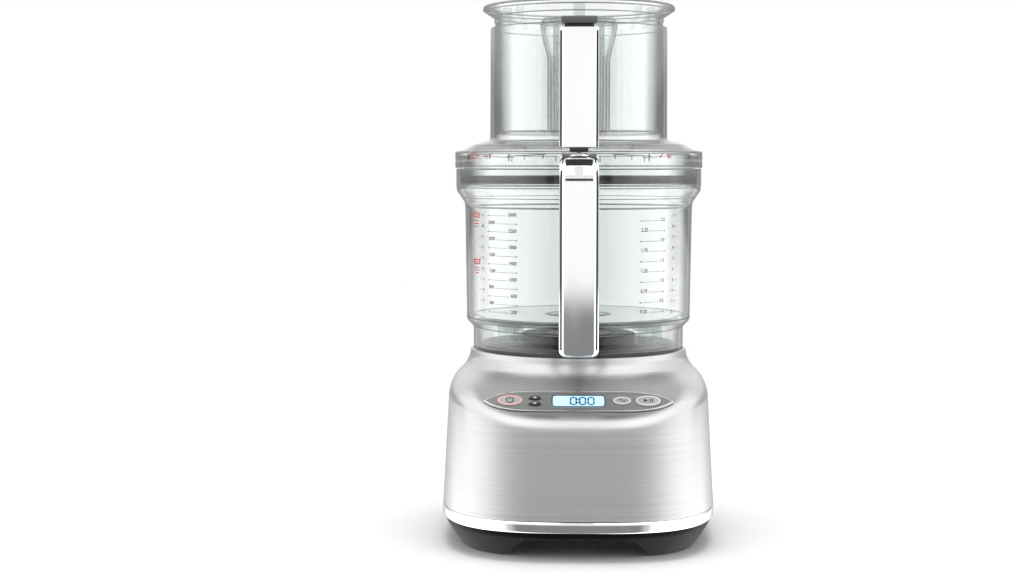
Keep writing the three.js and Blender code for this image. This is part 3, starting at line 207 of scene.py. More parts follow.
def brushed_steel(name, value, rough, streaks=(3, 3, 900)):
    """Satin steel with fine streaks along the stretched directions, in its shade, gloss and relief."""
    made = Nodes(name, Metallic=1.0)
    fine = made.noise(1.0, 4.0, streaks, 0.6)
    made.set(Base_Color=made.ramp(fine, [(0.3, grey(value * 0.93)), (0.7, grey(value * 1.06))]))
    made.set(Roughness=made.ramp(fine, [(0.25, rough - 0.05), (0.75, rough + 0.06)]))
    made.bump(fine, 0.12, 0.08 * MM)
    return made.material


def polished(name, value, rough):
    """Chrome with a faint change of shade and wiped marks."""
    made = Nodes(name, Metallic=1.0)
    marks = made.noise(60.0, 5.0, (1, 1, 0.25))
    made.set(Base_Color=made.ramp(marks, [(0.3, grey(value * 0.98)), (0.7, grey(value))]))
    made.set(Roughness=made.ramp(marks, [(0.35, rough), (0.8, rough + 0.04)]))
    return made.material


def scaled(colour, share):
    return tuple(part * share for part in colour)


def moulded(name, colour, rough, grain=2500.0, depth=0.06 * MM, shine=0.5):
    """Plastic or rubber with a moulded grain, a slow change of shade and worn, shinier patches."""
    made = Nodes(name, Specular_IOR_Level=shine)
    slow = made.noise(18.0, 4.0)
    made.set(Base_Color=made.ramp(slow, [(0.3, scaled(colour, 0.86)), (0.7, scaled(colour, 1.12))]))
    made.set(Roughness=made.ramp(slow, [(0.3, rough - 0.07), (0.7, rough + 0.07)]))
    made.bump(made.noise(grain, 2.0), 0.35, depth)
    return made.material


# How much light a clear moulding lets through, from facing the eye (0) to edge on (1); the fall towards edge
# on is painted shade for the dark rims that its curved walls show.
BOWL_SHADES = [
    (0.0, 0.945), (0.2, 0.96), (0.34, 0.985), (0.40, 0.985), (0.43, 0.935), (0.62, 0.89), (0.8, 0.5),
    (1.0, 0.15),
]
HOPPER_SHADES = [
    (0.0, 0.972), (0.2, 0.978), (0.34, 0.992), (0.38, 0.992), (0.42, 0.955), (0.6, 0.9), (0.78, 0.52),
    (1.0, 0.15),
]
TUBE_SHADES = [(0.0, 0.965), (0.3, 0.96), (0.5, 0.88), (0.7, 0.7), (0.84, 0.4), (1.0, 0.12)]


MIRRORED = [(0.0, 0.03), (0.36, 0.04), (0.5, 0.07), (0.64, 0.13), (0.84, 0.35), (1.0, 0.9)]
IN_MIRRORS = (0.98, 0.98, 0.98, 1)
SKIN_SHADE = 0.8


def clear(name, tint, gloss, shades=BOWL_SHADES):
    """Clear moulding: see-through, darker and greener towards its edges, with a glossy skin. The darkening
    towards the edges is painted shade. Mirrors see it lighter, so that the metal under it keeps its shade."""
    made = Nodes(name)
    facing = made.add("ShaderNodeLayerWeight", Blend=0.5).outputs["Facing"]
    # painted shade: the see-through colour darkens from facing the eye to edge on
    shade = made.ramp(facing, [(position, scaled(tint, value)) for position, value in shades])
    in_mirror = made.add("ShaderNodeLightPath").outputs["Is Glossy Ray"]
    wear = made.ramp(made.noise(22.0, 2.0), [(0.3, gloss), (0.8, gloss + 0.05)])
    body = made.mixed_colours(in_mirror, shade, IN_MIRRORS)
    made.see_through(body, made.ramp(facing, MIRRORED), grey(SKIN_SHADE), wear)
    return made.material


def film(name, colour, share, gloss):
    """A painted sheen over a clear sheet that is seen at a low angle: part mirror, part see-through."""
    made = Nodes(name)
    wear = made.ramp(made.noise(14.0, 2.0), [(0.3, gloss), (0.8, gloss + 0.06)])
    made.see_through((0.96, 0.98, 0.975, 1), share, colour, wear)
    return made.material


def glowing(name, colour, strength):
    """A lit face, a little uneven."""
    made = Nodes(name, Roughness=0.25, Emission_Strength=strength)
    lit = made.ramp(made.noise(35.0, 2.0), [(0.2, scaled(colour, 0.94)), (0.8, colour)])
    made.set(Base_Color=lit, Emission_Color=lit)
    return made.material


def print_ink(name, colour):
    made = Nodes(name, Roughness=0.5)
    made.set(Base_Color=made.ramp(made.noise(900.0, 2.0), [(0.3, scaled(colour, 0.8)), (0.7, colour)]))
    return made.material


FINISH = {
    "housing": brushed_steel("housing_steel", 0.42, 0.32),
    "trim_band": polished("trim_chrome", 0.93, 0.06),
    "bottom_pan": moulded("pan_plastic", (0.006, 0.006, 0.0065), 0.4, shine=0.06),
    "rubber": moulded("black_rubber", (0.012, 0.012, 0.013), 0.72, 1500.0),
    "fastener": brushed_steel("fastener_steel", 0.6, 0.3, (400, 400, 400)),
    "panel_plate": brushed_steel("panel_metal", 0.37, 0.3, (5, 700, 5)),
    "dark_plastic": moulded("dark_plastic", (0.018, 0.018, 0.019), 0.38),
    "circuit": moulded("circuit_board", (0.02, 0.12, 0.05), 0.5, 600.0),
    "laminations": brushed_steel("laminations", 0.25, 0.5, (1, 1, 2200)),
    "winding": brushed_steel("winding_copper", 0.5, 0.3, (1, 1, 1200)),
    "casting": moulded("cast_aluminium", (0.36, 0.36, 0.37), 0.45, 900.0),
    "machined_steel": brushed_steel("machined_steel", 0.62, 0.2, (2, 2, 1500)),
    "clear_plastic": clear("clear_plastic", (0.985, 1.0, 0.997), 0.03),
    "polished_cover": polished("cover_chrome", 0.97, 0.035),
    "seal": moulded("seal_rubber", (0.01, 0.01, 0.011), 0.45, 1200.0),
    "button": moulded("button_metal", (0.42, 0.41, 0.41), 0.3),
    "display_lens": glowing("display_glass", (0.46, 0.74, 0.95), 0.78),
    "white_ring": moulded("ring_white", (0.85, 0.85, 0.85), 0.35),
    "red_ring": glowing("ring_red", (0.75, 0.42, 0.40), 0.25),
    "digits": print_ink("digit_ink", (0.01, 0.09, 0.18)),
    "icon": print_ink("icon_ink", (0.03, 0.03, 0.032)),
    "scale_red": print_ink("scale_red_ink", (0.55, 0.03, 0.025)),
    "scale_dark": print_ink("scale_dark_ink", (0.14, 0.025, 0.02)),
    "card": moulded("card_cloth", (0.02, 0.02, 0.02), 0.9),
    "grey_card": glowing("grey_card_cloth", (0.46, 0.46, 0.46), 1.0),
    # painted shade: a darker clear for the dark outlines at clear mouldings' corners and for the lid's ramps
    "clear_painted_shade": clear("clear_painted_shade", (0.50, 0.54, 0.53), 0.08),
    "clear_light": clear("clear_light", (0.992, 1.0, 0.999), 0.03, HOPPER_SHADES),
    "clear_tube": clear("clear_tube", (0.985, 1.0, 0.997), 0.03, TUBE_SHADES),
    "clear_lug": clear("clear_lug", (0.80, 0.84, 0.83), 0.05),
    "floor_sheen": film("floor_sheen", (0.86, 0.89, 0.885), 0.6, 0.12),
    "cap_plastic": moulded("cap_plastic", (0.11, 0.11, 0.112), 0.4),
    "clear_edge": clear("clear_rib", (0.90, 0.93, 0.925), 0.04),
}

# ---------------------------------------------------------------- mesh helpers


def placed(name, data):
    """An object that holds this mesh, curve, light or camera, linked to the scene."""
    obj = bpy.data.objects.new(name, data)
    bpy.context.scene.collection.objects.link(obj)
    return obj


def shown_mesh(obj):
    """The mesh that an object shows once its curve or its cuts are worked out."""
    bpy.context.view_layer.update()
    return bpy.data.meshes.new_from_object(obj.evaluated_get(bpy.context.evaluated_depsgraph_get()))


def mesh_of_curve(name, curve):
    holder = placed(name, curve)
    mesh = shown_mesh(holder)
    mesh.name = name
    bpy.data.objects.remove(holder)
    bpy.data.curves.remove(curve)
    return mesh


def finished(name, mesh, finish, body, replaces=(), sharp=32):
    """Links a mesh as a piece, smooth except at its corners, with its finish, body and slot."""
    obj = placed(name, mesh)
    mesh.materials.clear()
    mesh.materials.append(FINISH[finish])
    mesh.shade_smooth()
    mesh.set_sharp_from_angle(angle=radians(sharp))
    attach(obj, body)
    if replaces:
        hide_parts(*replaces)
    return obj


NO_LENGTH = 1e-7


def mesh_from(name, verts, faces):
    mesh = bpy.data.meshes.new(name)
    mesh.from_pydata([tuple(v) for v in verts], [], faces)
    made = bmesh.new()
    made.from_mesh(mesh)
    bmesh.ops.remove_doubles(made, verts=made.verts, dist=NO_LENGTH)
    bmesh.ops.recalc_face_normals(made, faces=made.faces)
    made.to_mesh(mesh)
    made.free()
    mesh.update()
    return mesh


ON_THE_AXIS = 1e-6
NEARLY_STRAIGHT = radians(172)
CORNER_SHARE = 0.42


def softened(profile, radius, steps=4):
    """A closed profile whose corners are arcs, each kept within its two sides."""
    points = [Vector(p) for p in profile]
    made = []
    for i, corner in enumerate(points):
        to_last = points[i - 1] - corner
        to_next = points[(i + 1) % len(points)] - corner
        shorter = min(to_last.length, to_next.length)
        if corner.x < ON_THE_AXIS or shorter < NO_LENGTH or to_last.angle(to_next) > NEARLY_STRAIGHT:
            made.append(tuple(corner))
            continue
        reach = min(radius / tan(to_last.angle(to_next) / 2), CORNER_SHARE * shorter)
        start = corner + to_last.normalized() * reach
        end = corner + to_next.normalized() * reach
        made += [tuple(point) for point in arc(start, corner, end, steps)]
    return made


def arc(start, corner, end, steps):
    """A round stretch from start to end that leaves and arrives along the corner's sides."""
    shares = [k / steps for k in range(steps + 1)]
    return [start.lerp(corner, t).lerp(corner.lerp(end, t), t) for t in shares]


def lofted(name, profile_at, steps=180):
    """A ring about the bowl's axis whose closed profile may change with azimuth; 0 is the front."""
    verts = []
    count = 0
    for i in range(steps):
        azimuth = TAU * i / steps
        ring = profile_at(azimuth)
        count = len(ring)
        verts += [(r * sin(azimuth), AXIS_Y - r * cos(azimuth), z) for r, z in ring]
    faces = []
    for i in range(steps):
        for j in range(count):
            a, b = i * count, ((i + 1) % steps) * count
            k = (j + 1) % count
            faces.append((a + j, b + j, b + k, a + k))
    return mesh_from(name, verts, faces)


def turned(name, profile, soft=0.6 * MM, steps=180, at=None):
    """A turned piece with softened corners."""
    ring = softened(profile, soft) if soft else profile
    mesh = lofted(name, lambda azimuth: ring, steps)
    if at:
        mesh.transform(Matrix.Translation((at[0], at[1] - AXIS_Y, 0)))
    return mesh


def outline_extrude(name, outlines, thickness, bevel=0.3 * MM):
    """Flat outlines in X and Y, the later ones holes, thickened about Z = 0 with rounded edges."""
    curve = bpy.data.curves.new(name, "CURVE")
    curve.dimensions = "2D"
    curve.fill_mode = "BOTH"
    curve.extrude = max(thickness / 2 - bevel, 1e-5)
    curve.bevel_depth = bevel
    curve.bevel_resolution = 2
    curve.offset = -bevel
    for outline in outlines:
        spline = curve.splines.new("POLY")
        spline.points.add(len(outline) - 1)
        for point, (x, y) in zip(spline.points, outline):
            point.co = (x, y, 0, 1)
        spline.use_cyclic_u = True
    return mesh_of_curve(name, curve)


def ellipse(width, height, x=0.0, y=0.0, steps=64):
    angles = [TAU * i / steps for i in range(steps)]
    return [(x + width / 2 * cos(a), y + height / 2 * sin(a)) for a in angles]


def rounded_rectangle(width, height, radius, x=0.0, y=0.0, steps=8):
    centres = [(1, 1), (-1, 1), (-1, -1), (1, -1)]
    made = []
    for quarter, (sx, sy) in enumerate(centres):
        for k in range(steps + 1):
            angle = (quarter + k / steps) * pi / 2
            made.append((
                x + sx * (width / 2 - radius) + radius * cos(angle),
                y + sy * (height / 2 - radius) + radius * sin(angle),
            ))
    return made


def cut(mesh, *cutters):
    """The mesh less the cutters, which are meshes too."""
    host = placed("host", mesh)
    tools = [placed("cutter", cutter) for cutter in cutters]
    for tool in tools:
        modifier = host.modifiers.new("cut", "BOOLEAN")
        modifier.operation = "DIFFERENCE"
        modifier.solver = "EXACT"
        modifier.object = tool
    made = shown_mesh(host)
    for obj in [host, *tools]:
        bpy.data.objects.remove(obj)
    return made


def block(x0, x1, y0, y1, z0, z1, bevel=0.0, segments=3):
    """A box with rounded edges."""
    mesh = bpy.data.meshes.new("block")
    made = bmesh.new()
    bmesh.ops.create_cube(made, size=1)
    bmesh.ops.scale(made, vec=(x1 - x0, y1 - y0, z1 - z0), verts=made.verts)
    bmesh.ops.translate(made, vec=((x0 + x1) / 2, (y0 + y1) / 2, (z0 + z1) / 2), verts=made.verts)
    if bevel:
        bmesh.ops.bevel(made, geom=list(made.edges), offset=bevel, segments=segments, profile=0.5,
                        affect="EDGES")
    made.to_mesh(mesh)
    made.free()
    return mesh


def front_block(width, far, near, bottom, top, bevel=0.0, segments=3):
    """A box in front of the bowl's axis; far and near are its distances from the axis."""
    return block(-width / 2, width / 2, AXIS_Y - far, AXIS_Y - near, bottom, top, bevel, segments)


def merged(name, meshes):
    """Several meshes as one."""
    made = bmesh.new()
    for mesh in meshes:
        made.from_mesh(mesh)
    joined = bpy.data.meshes.new(name)
    made.to_mesh(joined)
    made.free()
    return joined


def turned_copy(mesh, angle):
    """A copy turned about the bowl's axis."""
    copy = mesh.copy()
    about = Matrix.Translation((0, AXIS_Y, 0))
    copy.transform(about @ Matrix.Rotation(angle, 4, "Z") @ about.inverted())
    return copy


# ---------------------------------------------------------------- base shells


def outline_radius(azimuth):
    """Distance from the bowl's axis to the base's outline, found by halving."""
    side, forward = sin(azimuth), cos(azimuth)
    near, far = 0.0, 1.0
    for _ in range(40):
        middle = (near + far) / 2
        x = abs(middle * side) / HALF_WIDTH
        y = abs(AXIS_Y - middle * forward) / HALF_DEPTH
        if x**OUTLINE_POWER + y**OUTLINE_POWER < 1:
            near = middle
        else:
            far = middle
    return near


def front_share(azimuth):
    return max(0.0, cos(azimuth)) ** 2


FOLD_INSET = 5.7 * MM
FOLD_LEAN = 4.3 * MM


def fold_point(azimuth):
    """Where the wall's line meets the shelf, softly levelled where the shelf would rise too high."""
    radius = outline_radius(azimuth) - FOLD_INSET - FOLD_LEAN * front_share(azimuth)
    plane = NECK_Z - (radius * cos(azimuth) - NECK_RADIUS) * tan(SHELF_ANGLE)
    level = COLLAR_TOP - SHOULDER_DROP
    softness = 4 * MM
    height = -softness * log(exp((level - plane) / softness) + 1) + level
    return Vector((radius, height))


def arc_corner(before, corner, after, radius, steps, share=0.45):
    """A corner replaced by an arc that takes at most a share of each side."""
    to_last, to_next = before - corner, after - corner
    half = to_last.angle(to_next) / 2
    reach = min(radius / tan(half), share * to_last.length, share * to_next.length)
    start = corner + to_last.normalized() * reach
    end = corner + to_next.normalized() * reach
    return arc(start, corner, end, steps)


def straight(start, end, steps):
    return [start.lerp(end, k / steps) for k in range(1, steps)]


def housing_profile(azimuth):
    """Wall, fold, shoulder, neck and collar, with a rolled lip at the bottom and a thickness behind."""
    foot = Vector((outline_radius(azimuth) - 0.3 * MM, TRIM_HIGH + 0.3 * MM))
    fold = fold_point(azimuth)
    neck = Vector((NECK_RADIUS, NECK_Z))
    top = Vector((COLLAR_RADIUS, COLLAR_TOP))
    shoulder = arc_corner(foot, fold, neck, 20 * MM, 14)
    throat = arc_corner(fold, neck, top, 40 * MM, 12, 0.85)
    lip = [foot + Vector((-0.9, 0)) * MM, foot + Vector((-0.25, 0.1)) * MM, foot + Vector((0, 0.6)) * MM]
    outside = lip + straight(lip[-1], shoulder[0], 6) + shoulder
    outside += straight(shoulder[-1], throat[0], 4) + throat
    outside += [top + Vector((0, -1.2)) * MM, top + Vector((-0.2, -0.35)) * MM, top + Vector((-0.8, 0)) * MM]
    inside = [Vector((p.x - 2.4 * MM, p.y))
              for p in (top, throat[0] - Vector((0, 2 * MM)), shoulder[0], foot)]
    return [tuple(p) for p in outside + inside]


PANEL_REACH = (fold_point(0).x + NECK_RADIUS) / 2 + 4 * MM
PANEL_Z = NECK_Z - (PANEL_REACH - NECK_RADIUS) * tan(SHELF_ANGLE)
SHELF = Matrix.Translation((0, AXIS_Y - PANEL_REACH, PANEL_Z)) @ Matrix.Rotation(SHELF_ANGLE, 4, "X")
PANEL_WIDTH = size("panel_plate", 0)
PANEL_HEIGHT = 25 * MM
PANEL_POWER = 6
PLATE_TOP = 0.6 * MM


def panel_outline(grow, steps=48):
    """A long plate with straight edges that comes to a blunt point at each end."""
    w, h = PANEL_WIDTH / 2 + grow, PANEL_HEIGHT / 2 + grow
    made = []
    for side in (-1, 1):
        for i in range(steps):
            share = sin(-pi / 2 + pi * i / steps)
            made.append((-side * w * share, side * h * (1 - abs(share) ** PANEL_POWER)))
    return made


def on_shelf(mesh, height):
    """Moves a mesh made about the origin onto the shelf, its middle at this height above it."""
    mesh.transform(SHELF @ Matrix.Translation((0, 0, height)))
    return mesh


def make_housing():
    shell = lofted("housing_shell", housing_profile, 240)
    opening = on_shelf(outline_extrude("opening", [panel_outline(0.35 * MM)], 24 * MM, 0.02 * MM), 0)
    gland = "cord_gland"
    hole = cylinder(centre(gland, 0), centre(gland, 2), size(gland, 0) / 2 + CLEARANCE,
                    low(gland, 1) - 5 * MM, high(gland, 1) + 9 * MM)
    finished("housing_shell", cut(shell, opening, hole), "housing", "base", ["housing"], 28)


def cylinder(x, z, radius, y0, y1, steps=48):
    """A round cutter along Y."""
    rim = ellipse(2 * radius, 2 * radius, x, z, steps)
    verts = [(px, y, pz) for y in (y0, y1) for px, pz in rim]
    faces = [(i, (i + 1) % steps, steps + (i + 1) % steps, steps + i) for i in range(steps)]
    faces += [tuple(range(steps)), tuple(range(steps, 2 * steps))]
    return mesh_from("cylinder", verts, faces)


def make_trim():
    def profile(azimuth):
        outer = outline_radius(azimuth)
        ring = [
            (-4, 0), (-1.1, 0), (-0.45, 0.3), (-0.1, 1.1), (0, 2.2), (0, 7.0), (-0.15, 8.2), (-0.7, 9.0),
            (-4, 9.1),
        ]
        return [(outer + dx * MM, TRIM_LOW + dz * MM) for dx, dz in ring]

    finished("trim_band_ring", lofted("trim_band_ring", profile, 300), "trim_band", "base",
             ["trim_band"], 50)


def arch_prism(half, reach, along_x):
    """The gap under the pan as a long prism with rounded upper corners."""
    flare = 14 * MM
    arch_top = 18 * MM
    section = [
        (-half - flare, -1 * MM), (half + flare, -1 * MM), (half + 3 * MM, 12 * MM),
        (half - 5 * MM, arch_top), (-half + 5 * MM, arch_top), (-half - 3 * MM, 12 * MM),
    ]
    section = [(p[0], p[1]) for p in softened([(x + 1, z) for x, z in section], 7 * MM, 6)]
    section = [(x - 1, z) for x, z in section]
    count = len(section)
    if along_x:
        verts = [(side * reach, x, z) for side in (-1, 1) for x, z in section]
    else:
        verts = [(x, side * reach, z) for side in (-1, 1) for x, z in section]
    faces = [(i, (i + 1) % count, count + (i + 1) % count, count + i) for i in range(count)]
    faces += [tuple(range(count)), tuple(range(count, 2 * count))]
    return mesh_from("arch", verts, faces)


VENT_PITCH = 9 * MM
VENT_WIDTH = 3.6 * MM
VENT_FRONT = AXIS_Y - 76 * MM
VENT_BACK = AXIS_Y - 58 * MM
VENT_TOP = 30 * MM


def vent_slot(x):
    """A cutter through the pan's floor."""
    return block(x - VENT_WIDTH / 2, x + VENT_WIDTH / 2, VENT_FRONT, VENT_BACK, 0.0, VENT_TOP)


def make_pan():
    def profile(azimuth):
        outer = outline_radius(azimuth) - 2.5 * MM
        taper = (12.5 + 9 * front_share(azimuth)) * MM
        ring = [(outer - taper - 2 * MM, 1 * MM)]
        corner = [Vector((outer - taper - 2 * MM, 1 * MM)), Vector((outer - taper * 0.86, 1.2 * MM)),
                  Vector((outer - 0.6 * MM, PAN_HEIGHT - 4 * MM)), Vector((outer, PAN_HEIGHT))]
        ring += arc_corner(*corner[:3], 9 * MM, 8) + arc_corner(*corner[1:], 6 * MM, 5)
        return [(2 * MM, 1 * MM)] + [tuple(p) for p in ring] + [(outer, PAN_HEIGHT), (2 * MM, PAN_HEIGHT)]

    shell = lofted("pan_shell", profile, 240)
    arches = [arch_prism(HALF_WIDTH * 0.4, HALF_DEPTH + 0.02, False),
              arch_prism(HALF_DEPTH * 0.3, HALF_WIDTH + 0.02, True)]
    pads = [cutter_at(node, high(node, 2) + CLEARANCE) for node in PADS]
    screws = [cutter_at(node, low(node, 2) + 3.3 * MM) for node in SCREWS]
    vents = [vent_slot(k * VENT_PITCH) for k in range(-3, 4)]
    mesh = cut(shell, *arches, *pads, *screws, *vents)
    finished("pan_shell", mesh, "bottom_pan", "base", ["bottom_pan"], 35)


PADS = [f"foot_pad_{i}" for i in (1, 2, 3, 4)]
SCREWS = [f"pan_screw_{i}" for i in (1, 2, 3, 4)]


def cutter_at(node, top):
    """A round cutter at a node's centre, from under the floor to a height, a little wider than the node."""
    bottom = -1 * MM
    radius = size(node, 0) / 2 + CLEARANCE
    profile = [(0.0, bottom), (radius, bottom), (radius, top), (0.0, top)]
    return turned("disc", profile, 0, 40, (centre(node, 0), centre(node, 1)))


def make_pads():
    """Foot pads with a dished sole and a ring groove."""
    for node in PADS:
        r = size(node, 0) / 2
        top = high(node, 2)
        profile = [
            (0.0, 0.5 * MM), (r * 0.35, 0.4 * MM), (r * 0.4, 0.0), (r * 0.62, 0.0), (r * 0.66, 0.7 * MM),
            (r * 0.74, 0.7 * MM), (r * 0.78, 0.0), (r - 0.8 * MM, 0.0), (r, 0.8 * MM), (r, top),
            (0.0, top),
        ]
        sole = turned(node, profile, 0.25 * MM, 64, (centre(node, 0), centre(node, 1)))
        finished(node + "_sole", sole, "rubber", "base", [node])


# ---------------------------------------------------------------- control panel

BUTTONS = {
    "power_button": (21, 12, "red_ring"),
    "pulse_button": (15, 9, "white_ring"),
    "start_button": (21, 12, "white_ring"),
}
ARROWS = {"time_up_button": 1, "time_down_button": -1}
ARROW_WIDTH = 10.5 * MM
ARROW_HEIGHT = 4.6 * MM


def button_centre(node):
    x = centre(node, 0)
    share = {"time_up_button": 0.25, "time_down_button": -0.31}.get(node, 0.0)
    return x, share * PANEL_HEIGHT / 2


def display_outline(grow, radius=0.0):
    """The display window's outline, let out on every side."""
    return rounded_rectangle(44 * MM + 2 * grow, 14 * MM + 2 * grow, radius or 3 * MM + grow)


def make_panel():
    holes = []
    for node, (width, height, _) in BUTTONS.items():
        x, y = button_centre(node)
        holes.append(ellipse(width * MM + 2 * CLEARANCE, height * MM + 2 * CLEARANCE, x, y))
    for node in ARROWS:
        x, y = button_centre(node)
        holes.append(ellipse(ARROW_WIDTH + 2 * CLEARANCE, ARROW_HEIGHT + 2 * CLEARANCE, x, y))
    holes.append(display_outline(CLEARANCE))
    plate = outline_extrude("panel_face", [panel_outline(0), *holes], 3 * MM, 0.25 * MM)
    finished("panel_face", on_shelf(plate, PLATE_TOP - 1.5 * MM), "panel_plate", "base",
             ["panel_plate"])
    inner, outer = panel_outline(-1.1 * MM), panel_outline(-0.35 * MM)
    rim = outline_extrude("panel_rim", [outer, inner], 0.3 * MM, 0.1 * MM)
    finished("panel_rim", on_shelf(rim, PLATE_TOP + 0.05 * MM), "trim_band", "base")


def make_display():
    lens = outline_extrude("display_window", [display_outline(0)], 2.6 * MM)
    finished("display_window", on_shelf(lens, PLATE_TOP - 1.35 * MM), "display_lens", "base",
             ["display_lens"])
    outlines = [display_outline(0.2 * MM), display_outline(-0.7 * MM, 2.6 * MM)]
    frame_ring = outline_extrude("display_rim", outlines, 0.3 * MM, 0.1 * MM)
    finished("display_rim", on_shelf(frame_ring, PLATE_TOP + 0.1 * MM), "icon", "base")
    digits = [digit(x) for x in (-4.2 * MM, 3.4 * MM, 10.4 * MM)]
    colon = [flat_block(-0.4 * MM, y, 1.1 * MM, 1.1 * MM) for y in (-1.7 * MM, 1.7 * MM)]
    made = merged("display_digits", digits + colon)
    finished("display_digits", on_shelf(made, PLATE_TOP + 0.08 * MM), "digits", "base")


MARK_THICKNESS = 0.24 * MM
MARK_BEVEL = 0.04 * MM


def flat_block(x, y, width, height):
    """A raised bar of a display figure or a button's mark."""
    w, h, t = width / 2, height / 2, MARK_THICKNESS / 2
    return block(x - w, x + w, y - h, y + h, -t, t, 0.05 * MM, 1)


def digit(x):
    """A seven-segment nought: six bars round an empty middle."""
    w, h, bar = 4.7 * MM, 8.4 * MM, 1.35 * MM
    bars = [flat_block(x, side * h / 2, w - bar, bar) for side in (-1, 1)]
    bars += [flat_block(x + sx * w / 2, sy * h / 4, bar, h / 2 - bar * 0.5) for sx in (-1, 1)
             for sy in (-1, 1)]
    return merged("digit", bars)


def make_buttons():
    for node, (width, height, ring) in BUTTONS.items():
        x, y = button_centre(node)
        cap = dome_button(node + "_cap", width * MM, height * MM, x, y)
        finished(node + "_cap", cap, "button", node, [node])
        outer = ellipse((width - 0.4) * MM, (height - 0.4) * MM, x, y)
        inner = ellipse((width - 2.6) * MM, (height - 2.6) * MM, x, y)
        band = outline_extrude(node + "_ring", [outer, inner], 0.5 * MM, 0.15 * MM)
        finished(node + "_ring", on_shelf(band, PLATE_TOP + 0.85 * MM), ring, node)
        finished(node + "_icon", on_shelf(icon(node, x, y), PLATE_TOP + 1.05 * MM), "icon", node)
    for node, way in ARROWS.items():
        x, y = button_centre(node)
        cap = dome_button(node + "_cap", ARROW_WIDTH, ARROW_HEIGHT, x, y)
        finished(node + "_cap", cap, "dark_plastic", node, [node])
        tip = [(x - 1.8 * MM, y - way * 0.6 * MM), (x + 1.8 * MM, y - way * 0.6 * MM),
               (x, y + way * 1.1 * MM)]
        arrow = outline_extrude(node + "_arrow", [tip], 0.24 * MM, 0.05 * MM)
        finished(node + "_arrow", on_shelf(arrow, PLATE_TOP + 1.0 * MM), "white_ring", node)


def dome_button(name, width, height, x, y):
    """A low dome on an oval edge, from below the plate to just above it."""
    steps, rows = 72, 8
    verts, faces = [], []
    shoulder, rise, flatness = PLATE_TOP + 0.3 * MM, 0.6 * MM, 0.35
    angles = [pi / 2 * k / rows for k in range(1, rows)]
    levels = [(1.0, -2.4 * MM), (1.0, shoulder)]
    levels += [(cos(a) ** flatness, shoulder + rise * sin(a)) for a in angles]
    for share, z in levels:
        verts += [(px, py, z) for px, py in ellipse(share * width, share * height, x, y, steps)]
    for row in range(len(levels) - 1):
        near, far = row * steps, (row + 1) * steps
        for i in range(steps):
            k = (i + 1) % steps
            faces.append((near + i, near + k, far + k, far + i))
    faces += [tuple(range(steps)), tuple(range(len(verts) - steps, len(verts)))]
    mesh = mesh_from(name, verts, faces)
    mesh.transform(SHELF)
    return mesh


def arc_band(x, y, radius, width, start, end, steps=24):
    """A flat band along an arc."""
    angles = [start + (end - start) * k / steps for k in range(steps + 1)]
    far, near = radius + width / 2, radius - width / 2
    outer = [(x + far * cos(a), y + far * sin(a)) for a in angles]
    inner = [(x + near * cos(a), y + near * sin(a)) for a in reversed(angles)]
    return outline_extrude("band", [outer + inner], MARK_THICKNESS, MARK_BEVEL)


def icon(node, x, y):
    """Generic marks: a ring with a bar, a zigzag, and a triangle with two bars."""
    if node == "power_button":
        ring = arc_band(x, y, 3.0 * MM, 0.9 * MM, radians(120), radians(420))
        return merged("icon", [ring, flat_block(x, y + 2.2 * MM, 0.9 * MM, 3.0 * MM)])
    if node == "pulse_button":
        return merged("icon", [arc_band(x + dx * MM, y, 1.3 * MM, 0.6 * MM, start, start + pi)
                               for dx, start in ((-1.3, 0.0), (1.3, pi))])
    triangle = [(x - 3.6 * MM, y - 1.9 * MM), (x - 0.4 * MM, y), (x - 3.6 * MM, y + 1.9 * MM)]
    bars = [flat_block(x + dx * MM, y, 0.9 * MM, 3.8 * MM) for dx in (1.6, 3.6)]
    return merged("icon", [outline_extrude("play", [triangle], MARK_THICKNESS, MARK_BEVEL), *bars])


# ---------------------------------------------------------------- deck


def make_deck():
    bore = 14.3 * MM
    edge = COLLAR_RADIUS - 6.2 * MM
    boss, plateau = high("bowl_deck", 2), COLLAR_TOP + 4.5 * MM
    profile = [
        (bore, boss - 11.6 * MM), (18 * MM, boss - 11.6 * MM), (18 * MM, boss - 3 * MM),
        (48 * MM, boss - 3 * MM), (49 * MM, plateau - 3 * MM), (edge - 3 * MM, plateau - 3.5 * MM),
        (edge - 3 * MM, COLLAR_TOP - 5 * MM), (edge + 3.5 * MM, COLLAR_TOP - 5 * MM),
        (edge + 3.5 * MM, COLLAR_TOP - 0.6 * MM), (edge, COLLAR_TOP), (edge - 1 * MM, plateau - 0.5 * MM),
        (edge - 2.5 * MM, plateau), (72 * MM, plateau), (71 * MM, plateau - 0.8 * MM),
        (69 * MM, plateau - 0.8 * MM), (68 * MM, plateau), (54 * MM, plateau), (52 * MM, plateau + 2 * MM),
        (51.4 * MM, boss - 1 * MM), (50.4 * MM, boss), (34 * MM, boss), (33 * MM, boss - 0.7 * MM),
        (31 * MM, boss - 0.7 * MM), (30 * MM, boss), (bore, boss),
    ]
    finished("deck_moulding", turned("deck_moulding", profile, 0.5 * MM), "dark_plastic", "base",
             ["bowl_deck"])


# ---------------------------------------------------------------- bowl


BOWL_OUTSIDE = [
    (SKIRT_RADIUS, BOWL_BOTTOM), (SKIRT_RADIUS, FLOOR_UNDERSIDE - 6 * MM),
    (BOWL_RADIUS - 0.5 * MM, FLOOR_UNDERSIDE), (BOWL_RADIUS, FLOOR_TOP), (WALL_TOP_RADIUS, WALL_TOP),
    (BOWL_RADIUS + 2 * MM, RIM_TOP - 30 * MM), (RIM_RADIUS - 0.6 * MM, RIM_TOP - 20 * MM),
    (RIM_RADIUS, RIM_TOP - 15 * MM), (RIM_RADIUS, RIM_TOP),
]


